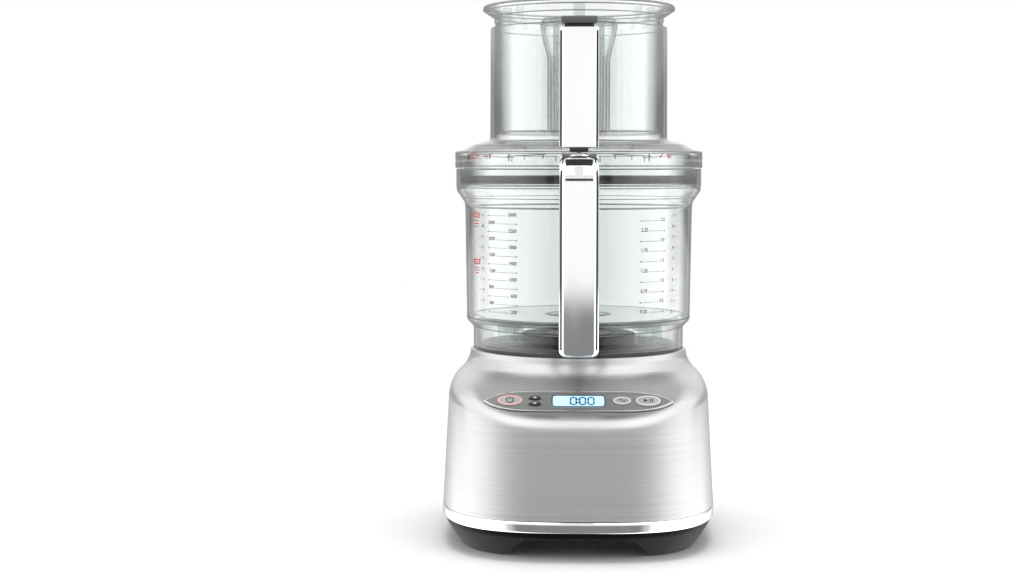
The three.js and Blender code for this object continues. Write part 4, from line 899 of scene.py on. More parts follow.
def make_bowl():
    hub_bore, hub, hub_top = 9 * MM, 12 * MM, high("drive_spindle", 2) + 6 * MM
    profile = BOWL_OUTSIDE + [
        (RIM_RADIUS - WALL, RIM_TOP), (RIM_RADIUS - WALL, RIM_TOP - 14 * MM),
        (WALL_TOP_RADIUS - WALL, WALL_TOP + 8 * MM), (WALL_TOP_RADIUS - WALL, WALL_TOP),
        (BOWL_RADIUS - WALL, FLOOR_TOP + 4 * MM), (BOWL_RADIUS - WALL - 1.2 * MM, FLOOR_TOP + 1 * MM),
        (BOWL_RADIUS - WALL - 4 * MM, FLOOR_TOP), (27 * MM, FLOOR_TOP), (26 * MM, FLOOR_TOP + 1.2 * MM),
        (hub + 3 * MM, FLOOR_TOP + 1.6 * MM), (hub, FLOOR_TOP + 5 * MM), (hub - 0.8 * MM, hub_top),
        (hub_bore, hub_top), (hub_bore, FLOOR_UNDERSIDE), (SKIRT_RADIUS - WALL, FLOOR_UNDERSIDE),
        (SKIRT_RADIUS - WALL, BOWL_BOTTOM),
    ]
    slot = front_block(10 * MM, SKIRT_RADIUS + 4 * MM, SKIRT_RADIUS - 8 * MM,
                       BOWL_BOTTOM - 1 * MM, BOWL_BOTTOM + 16 * MM)
    mesh = cut(turned("bowl_moulding", profile, 1.2 * MM, 240), slot)
    finished("bowl_moulding", mesh, "clear_plastic", "bowl", ["bowl"], 40)


def make_bowl_ribs():
    """The lugs under the floor and the locating ribs beside them."""
    lug = block(SKIRT_RADIUS - 13 * MM, SKIRT_RADIUS - 3.2 * MM, AXIS_Y - 9 * MM, AXIS_Y + 9 * MM,
                COLLAR_TOP + 8.6 * MM, FLOOR_UNDERSIDE - 0.1 * MM, 1.4 * MM)
    rib = block(SKIRT_RADIUS - 15 * MM, SKIRT_RADIUS - 3.2 * MM, AXIS_Y + 11 * MM, AXIS_Y + 12.6 * MM,
                COLLAR_TOP + 12 * MM, FLOOR_UNDERSIDE - 0.1 * MM, 0.5 * MM)
    meshes = []
    for angle in (45, 135, 225, 315):
        meshes += [turned_copy(lug, radians(angle)), turned_copy(rib, radians(angle))]
    finished("bowl_lugs", merged("bowl_lugs", meshes), "clear_lug", "bowl")


def make_floor_sheen():
    """A thin part-mirror ring just over the bowl's floor, round the hub: a painted sheen that lightens the
    floor.
    """
    inner, outer = 30 * MM, BOWL_RADIUS - WALL - 5 * MM
    under, over = FLOOR_TOP + 0.1 * MM, FLOOR_TOP + 0.2 * MM
    ring = [(inner, under), (outer, under), (outer, over), (inner, over)]
    finished("floor_sheen", turned("floor_sheen", ring, 0), "floor_sheen", "bowl")


def edge_lines(name, body, rings):
    """Thin dark clear rings along a clear moulding's corners: painted shade, which shows as its dark
    outlines.
    """
    meshes = []
    for radius, z, width in rings:
        half = width / 2
        profile = [(radius + half * cos(TAU * k / 8), z + half * sin(TAU * k / 8)) for k in range(8)]
        meshes.append(lofted(name, lambda azimuth: profile, 200))
    finished(name, merged(name, meshes), "clear_painted_shade", body)


def make_edge_lines():
    edge_lines("bowl_edges", "bowl", [
        (BOWL_RADIUS - 0.8 * MM, FLOOR_TOP - 1 * MM, 2.2 * MM),
        (BOWL_RADIUS - 1.6 * MM, FLOOR_UNDERSIDE + 0.2 * MM, 1.8 * MM),
        (SKIRT_RADIUS - 1 * MM, FLOOR_UNDERSIDE - 6 * MM, 1.1 * MM),
        (WALL_TOP_RADIUS - 1 * MM, WALL_TOP + 2 * MM, 1.6 * MM),
        (WALL_TOP_RADIUS + 2 * MM, WALL_TOP + 10 * MM, 0.8 * MM),
        (RIM_RADIUS - 1.4 * MM, RIM_TOP - 17 * MM, 1.0 * MM),
        (RIM_RADIUS - 1 * MM, RIM_TOP - 0.8 * MM, 1.0 * MM), (28 * MM, FLOOR_TOP + 0.4 * MM, 0.8 * MM),
    ])
    edge_lines("lid_edges", "lid", [
        (LID_RADIUS - 1.4 * MM, LID_SHOULDER - 1.4 * MM, 1.1 * MM),
        (LID_RADIUS - 1 * MM, LID_BOTTOM + 0.9 * MM, 0.9 * MM),
        (DOME_FOOT, LID_SHOULDER + 4.2 * MM, 0.9 * MM),
        (HOPPER_RADIUS - 0.2 * MM, DOME_TOP - 0.6 * MM, 1.4 * MM),
        (CHUTE_RADIUS + 1.2 * MM, HOPPER_TOP - 0.8 * MM, 1.0 * MM),
        (INNER_SKIRT - 1.6 * MM, SEAL_LOW - 1.6 * MM, 1.0 * MM),
    ])
    flange = high("pusher", 0)
    edge_lines("pusher_edges", "pusher", [
        (flange - 1 * MM, PUSHER_TOP - 1.4 * MM, 1.4 * MM),
        (flange - 1.8 * MM, PUSHER_TOP - 4.2 * MM, 1.2 * MM),
        (PUSHER_RADIUS - 0.6 * MM, HOPPER_TOP + 9.5 * MM, 1.0 * MM),
        (PUSHER_RADIUS - 1.4 * MM, PUSHER_LOW + 1.8 * MM, 1.2 * MM),
        (FEED_RADIUS + 5.2 * MM, FEED_TOP - 0.6 * MM, 1.0 * MM),
    ])
    edge_lines("small_pusher_edges", "small_pusher", [
        (FEED_RADIUS + 4 * MM, FEED_TOP + 2.2 * MM, 1.2 * MM),
        (FEED_RADIUS - 7.2 * MM, low("small_pusher", 2) + 1.6 * MM, 1.0 * MM),
    ])


# ---------------------------------------------------------------- printed scales


def text_mesh(words, height):
    """Letters lying in X and Y with their left end and middle at the origin."""
    curve = bpy.data.curves.new("words", "FONT")
    curve.body = words
    curve.size = height
    curve.align_y = "CENTER"
    curve.extrude = 0.04 * MM
    curve.offset = 0.09 * MM
    curve.resolution_u = 3
    return mesh_of_curve("words", curve)


INK_STAND = 0.12 * MM
INK_HALF = 0.04 * MM


def on_wall(mesh, azimuth, z, align=0.0):
    """Wraps a flat mesh onto the bowl's wall; align moves it by that share of its own width."""
    width = max(v.co.x for v in mesh.vertices)
    for v in mesh.vertices:
        x, y, lift = v.co.x - align * width, v.co.y, v.co.z
        height = z + y
        share = (height - FLOOR_TOP) / (WALL_TOP - FLOOR_TOP)
        radius = BOWL_RADIUS + (WALL_TOP_RADIUS - BOWL_RADIUS) * share + INK_STAND + lift
        angle = azimuth + x / radius
        v.co = (radius * sin(angle), AXIS_Y - radius * cos(angle), height)
    return mesh


def tick(length, thickness=0.35 * MM, steps=8):
    """A printed stroke in short blocks, so that it can follow the wall."""
    half = thickness / 2
    step = length / steps
    return merged("tick", [block(step * k, step * (k + 1), -half, half, -INK_HALF, INK_HALF)
                           for k in range(steps)])


def volume_scale(name, labels, low_z, high_z, inner, outer):
    """Marks up the wall between two azimuths. Each has a number at one end and a dot at the other, and the
    ends swap from mark to mark."""
    numbers, lines = [], []
    radius = BOWL_RADIUS + 1 * MM
    way = copysign(1, outer)
    for i, label in enumerate(labels):
        z = low_z + (high_z - low_z) * i / (len(labels) - 1)
        number = text_mesh(label, 4.3 * MM)
        width = max(v.co.x for v in number.vertices)
        number_end, dot_end = (outer, inner) if i % 2 else (inner, outer)
        toward = 1 if number_end == outer else -1
        numbers.append(on_wall(number, number_end - way * toward * width / 2 / radius, z + 0.9 * MM, 0.5))
        start, end = sorted((dot_end, number_end - way * toward * (width + 1.5 * MM) / radius))
        lines.append(on_wall(tick((end - start) * radius, 0.3 * MM), start, z))
        lines.append(on_wall(tick(1.3 * MM, 1.0 * MM), dot_end, z, 0.5))
    finished(name + "_numbers", merged(name + "_numbers", numbers), "scale_dark", "bowl")
    finished(name + "_marks", merged(name + "_marks", lines), "scale_dark", "bowl")


SMALL_SCALES = {"left_small_scale": -55, "right_small_scale": 53.5}
SMALL_MARKS = 10
TICK_TURN = 0.045
FLAG_AT = -61.5


def make_scales():
    """Scales of plain numbers and red fill limits on the wall, at angles in degrees from the front."""
    low_z, high_z = FLOOR_TOP + 7.4 * MM, FLOOR_TOP + 90.6 * MM
    millilitres = [str(v) for v in range(200, 2601, 200)]
    volume_scale("millilitre_scale", millilitres, low_z, high_z, radians(-31.5), radians(-50))
    litres = [f"{v / 4:.2f}".rstrip("0").ljust(3, "0") for v in range(1, 11)]
    volume_scale("litre_scale", litres, low_z + 1 * MM, high_z - 4 * MM, radians(31.5), radians(46.5))
    for name, azimuth in SMALL_SCALES.items():
        marks = []
        for i in range(SMALL_MARKS):
            z = low_z + (high_z - low_z) * i / (SMALL_MARKS - 1)
            marks.append(on_wall(text_mesh(str(i + 2), 3.6 * MM), radians(azimuth), z, 0.5))
            marks.append(on_wall(tick(2.2 * MM), radians(azimuth) + copysign(TICK_TURN, azimuth), z, 0.5))
        finished(name, merged(name, marks), "scale_dark", "bowl")
    flags = []
    for z in (high_z, (low_z + high_z) / 2 + 1 * MM):
        flags += [on_wall(tick(12 * MM, 1.1 * MM), radians(FLAG_AT), z + dz * MM, 0.5) for dz in (-1.8, 1.8)]
        flags += [on_wall(tick(1.6 * MM, 4.6 * MM), radians(FLAG_AT + da), z, 0.5) for da in (-3, 3)]
        flags += [on_wall(tick(length * MM, 0.9 * MM), radians(FLAG_AT), z - drop * MM, 0.5)
                  for length, drop in ((5, 0), (8, 5), (10, 7.4), (7, 9.8))]
    finished("fill_limit_marks", merged("fill_limit_marks", flags), "scale_red", "bowl")


# ---------------------------------------------------------------- handle


def swept_cover(name, path, section):
    """A closed section carried along a path in the plane X = 0. The section's points are X and the depth
    along the path's normal."""
    verts, faces = [], []
    count = len(section)
    for i, point in enumerate(path):
        ahead, behind = path[min(i + 1, len(path) - 1)], path[max(i - 1, 0)]
        along = (ahead - behind).normalized()
        outward = Vector((-along.y, along.x))
        for x, depth in section:
            spot = point + outward * depth
            verts.append((x, AXIS_Y - spot.x, spot.y))
    for i in range(len(path) - 1):
        for j in range(count):
            k = (j + 1) % count
            faces.append((i * count + j, i * count + k, (i + 1) * count + k, (i + 1) * count + j))
    faces += [tuple(range(count)), tuple(range((len(path) - 1) * count, len(path) * count))]
    return mesh_from(name, verts, faces)


def channel_section(half, thickness, back, crown=0.35 * MM):
    """A crowned channel: front face, rounded edges and side walls that run back."""
    outer = []
    edge = 5.4 * MM
    steps = 12
    for k in range(-steps, steps + 1):
        share = k / steps
        outer.append((share * (half - edge), -crown * share**2))
    for k in range(1, steps + 1):
        angle = pi / 2 * k / steps
        outer.append((half - edge + edge * sin(angle), -crown - edge * (1 - cos(angle))))
    outer.append((half, -back))
    mirrored = [(-x, depth) for x, depth in reversed(outer) if x > half - edge + NO_LENGTH]
    inner_half, floor = half - thickness, -thickness - crown - 0.5 * MM
    inner = [(inner_half, -back), (inner_half, floor), (-inner_half, floor), (-inner_half, -back)]
    return mirrored + outer + inner


def corner_path(points, radius, steps=10):
    """A polyline of reach and height with arcs at its inner corners."""
    made = [points[0]]
    for before, corner, after in zip(points, points[1:], points[2:]):
        made += arc_corner(before, corner, after, radius, steps)
    return made + [points[-1]]


def make_handle():
    front = AXIS_Y - low("handle_cover", 1)
    bottom, top = low("handle_cover", 2), high("handle_cover", 2)
    half = size("handle_cover", 0) / 2
    corner = 26 * MM
    toe = [Vector((front - 17 * MM, bottom)), Vector((front, bottom)), Vector((front, (bottom + top) / 2))]
    crown = [toe[-1], Vector((front, top)), Vector((front - 2.3 * corner, top))]
    path = corner_path(toe, 7 * MM)[:-1] + corner_path(crown, corner, 18)[1:-1]
    long_path = []
    for a, b in zip(path, path[1:]):
        pieces = max(1, int((b - a).length / (6 * MM)))
        long_path += [a.lerp(b, k / pieces) for k in range(pieces)]
    long_path.append(path[-1])
    cover = swept_cover("handle_shell", list(reversed(long_path)), channel_section(half, 1.6 * MM, 9 * MM))
    finished("handle_shell", cover, "polished_cover", "bowl", ["handle_cover"], 40)


def make_handle_frame():
    """The dark carrier behind the cover: the CAD solid with its edges rounded."""
    source = frame["nodes"]["handle_frame"].data.copy()
    made = bmesh.new()
    made.from_mesh(source)
    bmesh.ops.remove_doubles(made, verts=made.verts, dist=1e-6)
    bmesh.ops.dissolve_limit(made, angle_limit=radians(3), verts=made.verts, edges=made.edges)
    sharp = [e for e in made.edges
             if len(e.link_faces) == 2 and e.calc_face_angle(0) > radians(50) and e.calc_length() > 4 * MM]
    bmesh.ops.bevel(made, geom=sharp, offset=0.8 * MM, segments=3, profile=0.5, affect="EDGES",
                    clamp_overlap=True)
    made.to_mesh(source)
    made.free()
    carrier = finished("handle_carrier", source, "dark_plastic", "bowl", ["handle_frame"],
                       35)
    carrier.visible_glossy = False


# ---------------------------------------------------------------- lid, guide and interlock

INNER_SKIRT = RIM_RADIUS - WALL - 3.4 * MM
SEAL_LOW = low("lid_seal", 2)


def make_lid():
    lip = INNER_SKIRT + 1.2 * MM
    profile = [
        (CHUTE_RADIUS, HOPPER_TOP), (HOPPER_RADIUS - 0.5 * MM, HOPPER_TOP),
        (HOPPER_RADIUS, DOME_TOP + 2 * MM), (HOPPER_RADIUS + 1.6 * MM, DOME_TOP),
        (DOME_FOOT, LID_SHOULDER + 5.4 * MM), (99 * MM, LID_SHOULDER + 2.6 * MM),
        (LID_RADIUS - 6 * MM, LID_SHOULDER), (LID_RADIUS - 1 * MM, LID_SHOULDER - 0.2 * MM),
        (LID_RADIUS, LID_SHOULDER - 1.6 * MM), (LID_RADIUS, LID_BOTTOM + 6.4 * MM),
        (LID_RADIUS - 0.5 * MM, LID_BOTTOM + 5.4 * MM), (LID_RADIUS, LID_BOTTOM + 4.4 * MM),
        (LID_RADIUS, RIM_TOP + 0.3 * MM), (LID_RADIUS - WALL, RIM_TOP + 0.3 * MM),
        (LID_RADIUS - WALL, LID_SHOULDER - 4 * MM), (INNER_SKIRT, LID_SHOULDER - 4 * MM),
        (INNER_SKIRT, SEAL_LOW - 0.3 * MM), (lip, SEAL_LOW - 0.3 * MM), (lip, SEAL_LOW - 2 * MM),
        (INNER_SKIRT - WALL, SEAL_LOW - 2 * MM), (INNER_SKIRT - WALL, LID_SHOULDER - 3.6 * MM),
        (DOME_FOOT, LID_SHOULDER + 2.4 * MM), (CHUTE_RADIUS, DOME_TOP - WALL),
    ]
    slot = front_block(16 * MM, LID_RADIUS + 5 * MM, HOPPER_RADIUS + 1.5 * MM,
                       LID_SHOULDER - 5.5 * MM, LID_SHOULDER + 20 * MM)
    mesh = cut(turned("lid_moulding", profile, 1.0 * MM, 240), slot)
    finished("lid_moulding", mesh, "clear_light", "lid", ["lid"], 40)


def on_lid(x0, x1, z0, z1, azimuth, stand=0.14):
    """A thin patch on the lid's skirt; x and z are millimetres from the patch's own middle."""
    patch = block(x0 * MM, x1 * MM, AXIS_Y - LID_RADIUS - stand * MM, AXIS_Y - LID_RADIUS + 0.1 * MM,
                  LID_BOTTOM + (9 + z0) * MM, LID_BOTTOM + (9 + z1) * MM)
    return turned_copy(patch, radians(azimuth))


RAMP_STARTS = ((16, 0.16 * MM), (44, 0.0), (128, 0.16 * MM), (152, 0.0))
RAMP_STEPS = 9
RAMP_STEP_ANGLE = 2.1
RAMP_DROP = 4.4 * MM


def ramp_block(width, bottom, top, angle):
    """A short block inside the lid's skirt, at an angle in degrees from the front."""
    made = front_block(width, LID_RADIUS - 0.8 * MM, LID_RADIUS - 1.9 * MM, bottom, top, 0.2 * MM, 1)
    return turned_copy(made, radians(angle))


def make_lid_ramps():
    """Bayonet ramps inside the lid's skirt, and the printed marks that show where it locks."""
    ramps = []
    level = LID_SHOULDER - RAMP_DROP
    for side in (-1, 1):
        for start, fall in RAMP_STARTS:
            angles = [side * (start + RAMP_STEP_ANGLE * k) for k in range(RAMP_STEPS)]
            for k, angle in enumerate(angles):
                ramps.append(ramp_block(4.2 * MM, level - fall * k, level - fall * k + 0.9 * MM, angle))
            for angle, drop in ((angles[0], 3 * MM), (angles[-1], 5 * MM)):
                ramps.append(ramp_block(1 * MM, level - drop, level + 1 * MM, angle))
    # the ramps are drawn in the darker clear of the outlines, a painted shade
    finished("lid_ramps", merged("lid_ramps", ramps), "clear_painted_shade", "lid")
    marks = [on_lid(-3.4, 3.4, 3.0, 3.7, -54), on_lid(-3.4, 3.4, -2.0, -1.3, -54),
             on_lid(-3.4, -2.7, -2.0, 3.7, -54)]
    marks += [on_lid(-2.6, 2.6, 0.4, 1.2, -52), on_lid(-4, 4, -0.6, 0.1, -46)]
    for k in range(-4, 5):
        x, z = 0.42 * k, 0.62 * abs(k + 2)
        marks.append(on_lid(x - 0.4, x + 0.4, z - 1.6, z - 0.7, 39))
    marks += [on_lid(-3, 3, 0.9, 1.7, 44.5), on_lid(-2.2, 2.2, -0.9, -0.2, 44)]
    finished("lid_marks", merged("lid_marks", marks), "scale_red", "lid")


def make_seal():
    outer = RIM_RADIUS - WALL - 0.4 * MM
    height = size("lid_seal", 2)
    profile = [
        (INNER_SKIRT + 0.3 * MM, SEAL_LOW), (outer - 0.8 * MM, SEAL_LOW), (outer, SEAL_LOW + 0.9 * MM),
        (outer - 1 * MM, SEAL_LOW + height * 0.4), (outer - 1 * MM, SEAL_LOW + height * 0.6),
        (outer, SEAL_LOW + height - 0.9 * MM), (outer - 0.8 * MM, SEAL_LOW + height),
        (INNER_SKIRT + 0.3 * MM, SEAL_LOW + height),
    ]
    finished("seal_ring", turned("seal_ring", profile, 0.4 * MM), "seal", "lid", ["lid_seal"])


GUIDE_LOW = LID_SHOULDER + 1.5 * MM
GUIDE_TOP = high("interlock_cover", 2)
GUIDE_FRONT = AXIS_Y - low("interlock_cover", 1) - 2.5 * MM


def make_guide():
    """Two clear cheeks from the hopper's wall to the polished cover, with a clear front web behind it."""
    cheeks = []
    for side in (-1, 1):
        outline = [
            (side * 15.2, GUIDE_FRONT / MM), (side * 15.2, GUIDE_FRONT / MM - 8),
            (side * 29, HOPPER_RADIUS / MM - 6), (side * 37, HOPPER_RADIUS / MM - 9.2),
            (side * 35.5, HOPPER_RADIUS / MM - 10.4), (side * 27.6, HOPPER_RADIUS / MM - 7.2),
            (side * 12.8, GUIDE_FRONT / MM - 9), (side * 12.8, GUIDE_FRONT / MM),
        ]
        points = [(x * MM, AXIS_Y - reach * MM) for x, reach in outline]
        cheek = outline_extrude("cheek", [points], GUIDE_TOP - GUIDE_LOW, 0.5 * MM)
        cheek.transform(Matrix.Translation((0, 0, (GUIDE_TOP + GUIDE_LOW) / 2)))
        cheeks.append(cheek)
    web = front_block(25.2 * MM, GUIDE_FRONT, GUIDE_FRONT - 2 * MM, GUIDE_LOW + 4 * MM, GUIDE_TOP, 0.4 * MM)
    finished("interlock_guide", merged("interlock_guide", [*cheeks, web]), "clear_light", "lid")


def make_interlock_cover():
    front = AXIS_Y - low("interlock_cover", 1)
    bottom, top = low("interlock_cover", 2), high("interlock_cover", 2)
    half = size("interlock_cover", 0) / 2
    steps = 24
    path = [Vector((front, bottom)).lerp(Vector((front, top)), k / steps) for k in range(steps + 1)]
    cover = swept_cover("interlock_shell", list(reversed(path)), channel_section(half, 1.4 * MM, 7.5 * MM))
    finished("interlock_shell", cover, "polished_cover", "lid", ["interlock_cover"], 40)


PLUNGER_FRONT = 97.5 * MM


def make_plunger():
    foot_low, cap_top = low("lid_plunger", 2), high("lid_plunger", 2)
    cap_low = cap_top - 6 * MM
    toe = AXIS_Y - low("lid_plunger", 1)
    back = HOPPER_RADIUS + 3 * MM
    cap = front_block(31 * MM, PLUNGER_FRONT + 1.5 * MM, back, cap_low, cap_top, 1.6 * MM, 4)
    finished("plunger_cap", cap, "cap_plastic", "lid_plunger")
    stem = front_block(16 * MM, PLUNGER_FRONT - 3 * MM, back, foot_low, cap_low + 1 * MM, 0.6 * MM)
    foot = front_block(15 * MM, toe, back, foot_low, foot_low + 4 * MM, 0.9 * MM)
    collar = front_block(24.6 * MM, PLUNGER_FRONT - 2.6 * MM, PLUNGER_FRONT - 9 * MM,
                         cap_low - 9 * MM, cap_low + 1 * MM, 0.5 * MM)
    finished("plunger_moulding", merged("plunger_moulding", [stem, collar, foot]), "dark_plastic",
             "lid_plunger", ["lid_plunger"])


# ---------------------------------------------------------------- pushers

PUSHER_LOW = low("pusher", 2)
PUSHER_TOP = high("pusher", 2)
PUSHER_RADIUS = CHUTE_RADIUS - 1.3 * MM
FEED_RADIUS = 28 * MM
FEED_TOP = HOPPER_TOP + 4.5 * MM


def feed_flare(thickness, steps=18):
    made = []
    for k in range(steps + 1):
        share = k / steps
        eased = (1 - cos(pi * share)) / 2
        made.append((FEED_RADIUS - thickness + 6.5 * MM * eased, FEED_TOP - 36 * MM * (1 - share)))
    return made


def make_pusher():
    neck = PUSHER_RADIUS + 0.7 * MM
    flange = high("pusher", 0)
    low_edge = PUSHER_TOP - 5 * MM
    inside = PUSHER_RADIUS - 2.5 * MM
    profile = [
        (PUSHER_RADIUS - 1 * MM, PUSHER_LOW), (PUSHER_RADIUS, PUSHER_LOW + 1 * MM),
        (PUSHER_RADIUS, HOPPER_TOP + 4 * MM), (neck, HOPPER_TOP + 5 * MM), (neck, HOPPER_TOP + 8.5 * MM),
        (flange - 1.5 * MM, low_edge), (flange, low_edge + 1 * MM), (flange, PUSHER_TOP - 1 * MM),
        (flange - 1 * MM, PUSHER_TOP), (neck + 2 * MM, PUSHER_TOP - 0.6 * MM),
        (neck - 2.5 * MM, HOPPER_TOP + 10 * MM), (inside, HOPPER_TOP + 4 * MM),
        (inside, PUSHER_LOW + 4 * MM), (inside - 1 * MM, PUSHER_LOW + 3 * MM),
        (FEED_RADIUS + 0.5 * MM, PUSHER_LOW + 3 * MM),
    ]
    ring = softened(profile, 0.8 * MM)[:-5] + [(FEED_RADIUS, PUSHER_LOW + 3.4 * MM)]
    ring += feed_flare(0) + list(reversed(feed_flare(2.4 * MM))) + [(FEED_RADIUS - 2.4 * MM, PUSHER_LOW)]
    mesh = lofted("pusher_moulding", lambda azimuth: ring, 200)
    finished("pusher_moulding", mesh, "clear_light", "pusher", ["pusher"], 40)


def make_pusher_ribs():
    """Curved gussets under the flange, small stops on it, and the finger over the plunger."""
    neck = PUSHER_RADIUS + 0.9 * MM
    flange = high("pusher", 0)
    steps = 8
    bottom, top = HOPPER_TOP + 3.2 * MM, PUSHER_TOP - 5.6 * MM
    start, reach = neck + 1.5 * MM, flange - neck - 2.6 * MM
    angles = [pi / 2 * k / steps for k in range(steps + 1)]
    curved = [(start + reach * sin(a), bottom + (top - bottom) * (1 - cos(a))) for a in angles]
    gusset = [(neck, bottom), *curved, (neck, top)]
    rib = outline_extrude("rib", [gusset], 1.8 * MM, 0.3 * MM)
    upright = Matrix.Rotation(-pi / 2, 4, "Z") @ Matrix.Rotation(pi / 2, 4, "X")
    rib.transform(Matrix.Translation((0, AXIS_Y, 0)) @ upright)
    ribs = [turned_copy(rib, radians(a + da)) for a in (-45, 45, 135, 225) for da in (-5.5, 5.5)]
    stop = front_block(6.4 * MM, flange - 0.3 * MM, flange - 3.2 * MM,
                       PUSHER_TOP - 0.6 * MM, PUSHER_TOP, 0.3 * MM)
    ribs += [turned_copy(stop, radians(a)) for a in (-43, 0, 43, 137, 180, 223)]
    finger = front_block(10 * MM, flange - 1 * MM, HOPPER_RADIUS + 2.5 * MM,
                         high("lid_plunger", 2) + 0.5 * MM, PUSHER_TOP - 4.4 * MM, 0.8 * MM)
    finished("pusher_ribs", merged("pusher_ribs", [*ribs, finger]), "clear_edge", "pusher")


def make_small_pusher():
    outer = FEED_RADIUS - 5.7 * MM
    cap = FEED_RADIUS + 4.5 * MM
    bottom = low("small_pusher", 2)
    profile = [
        (0.0, bottom), (outer - 1 * MM, bottom), (outer, bottom + 1 * MM),
        (outer + 0.4 * MM, FEED_TOP - 4 * MM), (outer + 1 * MM, FEED_TOP + 0.3 * MM),
        (cap, FEED_TOP + 0.3 * MM), (cap + 0.6 * MM, FEED_TOP + 2 * MM), (cap, FEED_TOP + 4 * MM),
        (outer - 2 * MM, FEED_TOP + 4 * MM), (outer - 2.4 * MM, bottom + 3 * MM), (0.0, bottom + 3 * MM),
    ]
    mesh = turned("small_pusher_moulding", profile, 0.7 * MM, 120)
    finished("small_pusher_moulding", mesh, "clear_tube", "small_pusher", ["small_pusher"],
             40)


# ---------------------------------------------------------------- pieces kept from the frame


def finish_kept_nodes():
    """Every CAD node that still shows gets its slot's detailed material."""
    slots = {part["node"]: part["material_slot"] for part in frame["record"]["subparts"]}
    for name, obj in frame["nodes"].items():
        obj.data.materials.clear()
        obj.data.materials.append(FINISH[slots[name]])


# ---------------------------------------------------------------- studio


FLOOR_RADIUS = 1.1
OVERHEAD_WATTS = 29
OVERHEAD_SIZE = (1.2, 1.0)
OVERHEAD_PLACE = Vector((0, 0.1, 1.9))
OVERHEAD_TARGET = Vector((0, 0, 0.2))


def make_floor():
    """A disc of white paper that fades into the white surround; mirrors see the surround instead."""
    rim = ellipse(2 * FLOOR_RADIUS, 2 * FLOOR_RADIUS, steps=96)
    floor = placed("floor", mesh_from("floor", [(x, y, 0) for x, y in rim], [tuple(range(len(rim)))]))
    made = Nodes("floor_paper", Roughness=0.9)
    distance = made.add("ShaderNodeVectorMath", operation="LENGTH")
    made.give(made.place(), distance.inputs[0])
    fade = made.eased(distance.outputs["Value"], 0.3, FLOOR_RADIUS * 0.9, 1, 0)
    made.set(Base_Color=made.ramp(made.noise(3.0, 2.0), [(0.3, grey(0.74)), (0.7, grey(0.76))]), Alpha=fade)
    floor.data.materials.append(made.material)
    floor.visible_glossy = False


def make_overhead_light():
    data = bpy.data.lights.new("overhead", "AREA")
    data.shape = "RECTANGLE"
    data.size, data.size_y = OVERHEAD_SIZE
    data.energy = OVERHEAD_WATTS
    light = placed("overhead", data)
    light.location = OVERHEAD_PLACE
    light.rotation_euler = (OVERHEAD_TARGET - OVERHEAD_PLACE).to_track_quat("-Z", "Y").to_euler()
    light.visible_glossy = False


CARD_DISTANCE = 30 * MM
HANDLE_CARDS = [
    ("card", 6, 11, 0.03, 0.12),
    ("grey_card", 11, 58, 0.12, 2.5),
    ("card", 58, 100, 0.06, 0.4),
]


def make_cards():
    """Cards that only mirrors see: narrow ones beside the polished covers draw the dark lines along
    their edges, and three in front shade the handle's round top."""
    for cover in ("handle_cover", "interlock_cover"):
        near, far = low(cover, 1) - 13 * MM, low(cover, 1) + 18 * MM
        bottom, top = low(cover, 2), high(cover, 2)
        for side in (-1, 1):
            x = side * (size(cover, 0) / 2 + CARD_DISTANCE)
            card("card", [(x, near, bottom), (x, far, bottom), (x, far, top), (x, near, top)])
    corner = 22 * MM
    y, z = low("handle_cover", 1) + corner, high("handle_cover", 2) - corner
    for finish, start, end, half, reach in HANDLE_CARDS:
        angles = (radians(start), radians(end))
        (y0, z0), (y1, z1) = [(y - reach * cos(a), z + reach * sin(a)) for a in angles]
        card(finish, [(-half, y0, z0), (half, y0, z0), (half, y1, z1), (-half, y1, z1)])


def card(finish, corners):
    made = placed("card", mesh_from("card", corners, [(0, 1, 2, 3)]))
    made.data.materials.append(FINISH[finish])
    made.visible_camera = False
    made.visible_diffuse = False
    made.visible_shadow = False
    made.visible_transmission = False


# Bands of the studio: where each blends in, as heights on the unit sphere, and its brightness at angles
# from the front in degrees.
BANDS = [
    (None, None, [
        (0, 0.25), (14, 0.25), (26, 0.24), (32, 0.6), (42, 1.4), (60, 2.2), (80, 3.0), (125, 3.0),
        (145, 1.4), (165, 0.6),
    ]),
    (-0.088, -0.066, [
        (0, 1.02), (20, 1.0), (40, 1.2), (58, 2.0), (98, 2.0), (120, 0.6), (150, 0.5), (163, 0.6),
        (180, 0.8),
    ]),
    (0.07, 0.12, [
        (0, 0.8), (20, 0.9), (40, 1.4), (60, 1.9), (80, 2.2), (110, 2.2), (140, 1.3), (160, 1.3),
        (180, 1.5),
    ]),
    (0.35, 0.5, [(0, 2.7), (30, 2.6), (60, 2.3), (90, 2.2), (130, 1.6), (180, 1.2)]),
    (0.88, 0.97, [(0, 0.72), (180, 0.72)]),
]
HALF_TURN = 180
SOFTER_ON_DIFFUSE = 0.6


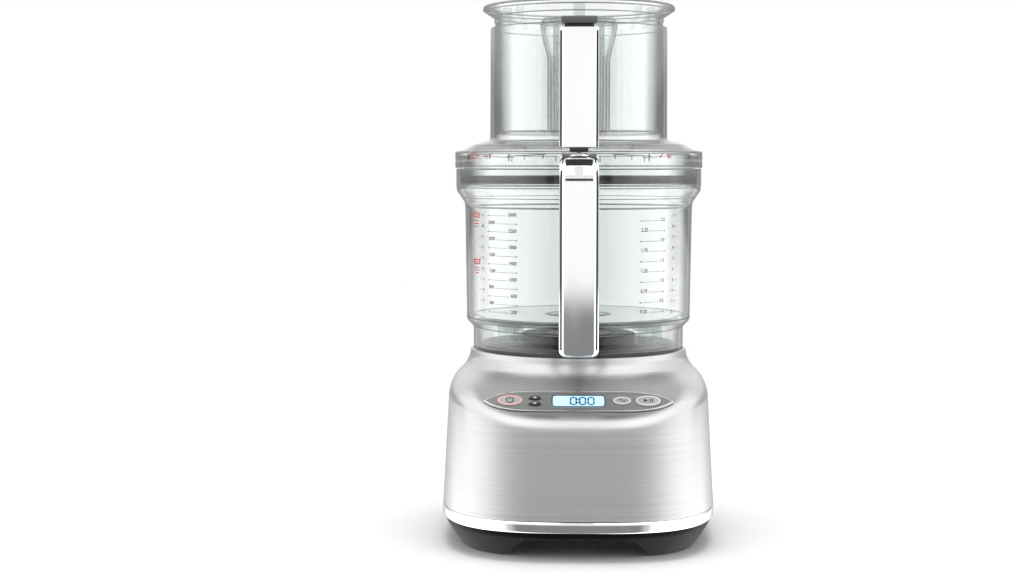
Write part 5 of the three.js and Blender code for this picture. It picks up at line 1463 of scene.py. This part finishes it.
def make_world():
    """Pale studio. Its brightness changes with the angle from the front, in bands one above another."""
    world = bpy.data.worlds.new("studio")
    bpy.context.scene.world = world
    world.use_nodes = True
    world.node_tree.nodes.clear()
    made = Tree(world.node_tree)

    def worked_out(operation, *values):
        node = made.add("ShaderNodeMath", operation=operation)
        for socket, value in zip(node.inputs, values):
            made.give(value, socket)
        return node.outputs[0]

    where = made.add("ShaderNodeTexCoord").outputs["Generated"]
    split = made.add("ShaderNodeSeparateXYZ", Vector=where)
    aside = worked_out("ABSOLUTE", split.outputs["X"])
    forward = worked_out("MULTIPLY", split.outputs["Y"], -1)
    share = worked_out("DIVIDE", worked_out("ARCTAN2", aside, forward), pi)
    shade = None
    for start, end, stops in BANDS:
        above = made.ramp(share, [(angle / HALF_TURN, value) for angle, value in stops], "EASE")
        if shade:
            above = made.mixed_colours(made.eased(split.outputs["Z"], start, end), shade, above)
        shade = above
    path = made.add("ShaderNodeLightPath")
    dimming = worked_out("MULTIPLY", path.outputs["Is Diffuse Ray"], SOFTER_ON_DIFFUSE)
    studio = made.add("ShaderNodeBackground", Color=shade, Strength=worked_out("SUBTRACT", 1, dimming))
    plain = made.add("ShaderNodeBackground", Color=(1, 1, 1, 1))
    seen = made.layered(path.outputs["Is Camera Ray"], studio.outputs["Background"],
                        plain.outputs["Background"])
    made.add("ShaderNodeOutputWorld", Surface=seen)


CAMERA_PLACE = (-0.0068, AXIS_Y - 1.5232, 0.3217)
CAMERA_TILT = radians(4.009)
CAMERA_TURN = radians(2.035)
CAMERA_LENS = 59.744
SENSOR_WIDTH = 36.0


def make_camera():
    data = bpy.data.cameras.new("camera")
    data.sensor_width = SENSOR_WIDTH
    data.lens = CAMERA_LENS
    camera = placed("camera", data)
    camera.location = CAMERA_PLACE
    camera.rotation_euler = (pi / 2 - CAMERA_TILT, 0, CAMERA_TURN)
    bpy.context.scene.camera = camera


# ---------------------------------------------------------------- the whole scene

make_camera()
make_world()
make_floor()
make_cards()
make_overhead_light()
finish_kept_nodes()
make_housing()
make_trim()
make_pan()
make_pads()
make_panel()
make_display()
make_buttons()
make_deck()
make_bowl()
make_bowl_ribs()
make_floor_sheen()
make_edge_lines()
make_scales()
make_handle()
make_handle_frame()
make_lid()
make_lid_ramps()
make_seal()
make_guide()
make_interlock_cover()
make_plunger()
make_pusher()
make_pusher_ribs()
make_small_pusher()

scene = bpy.context.scene
scene.view_settings.view_transform = "Standard"
scene.cycles.transparent_max_bounces = 64
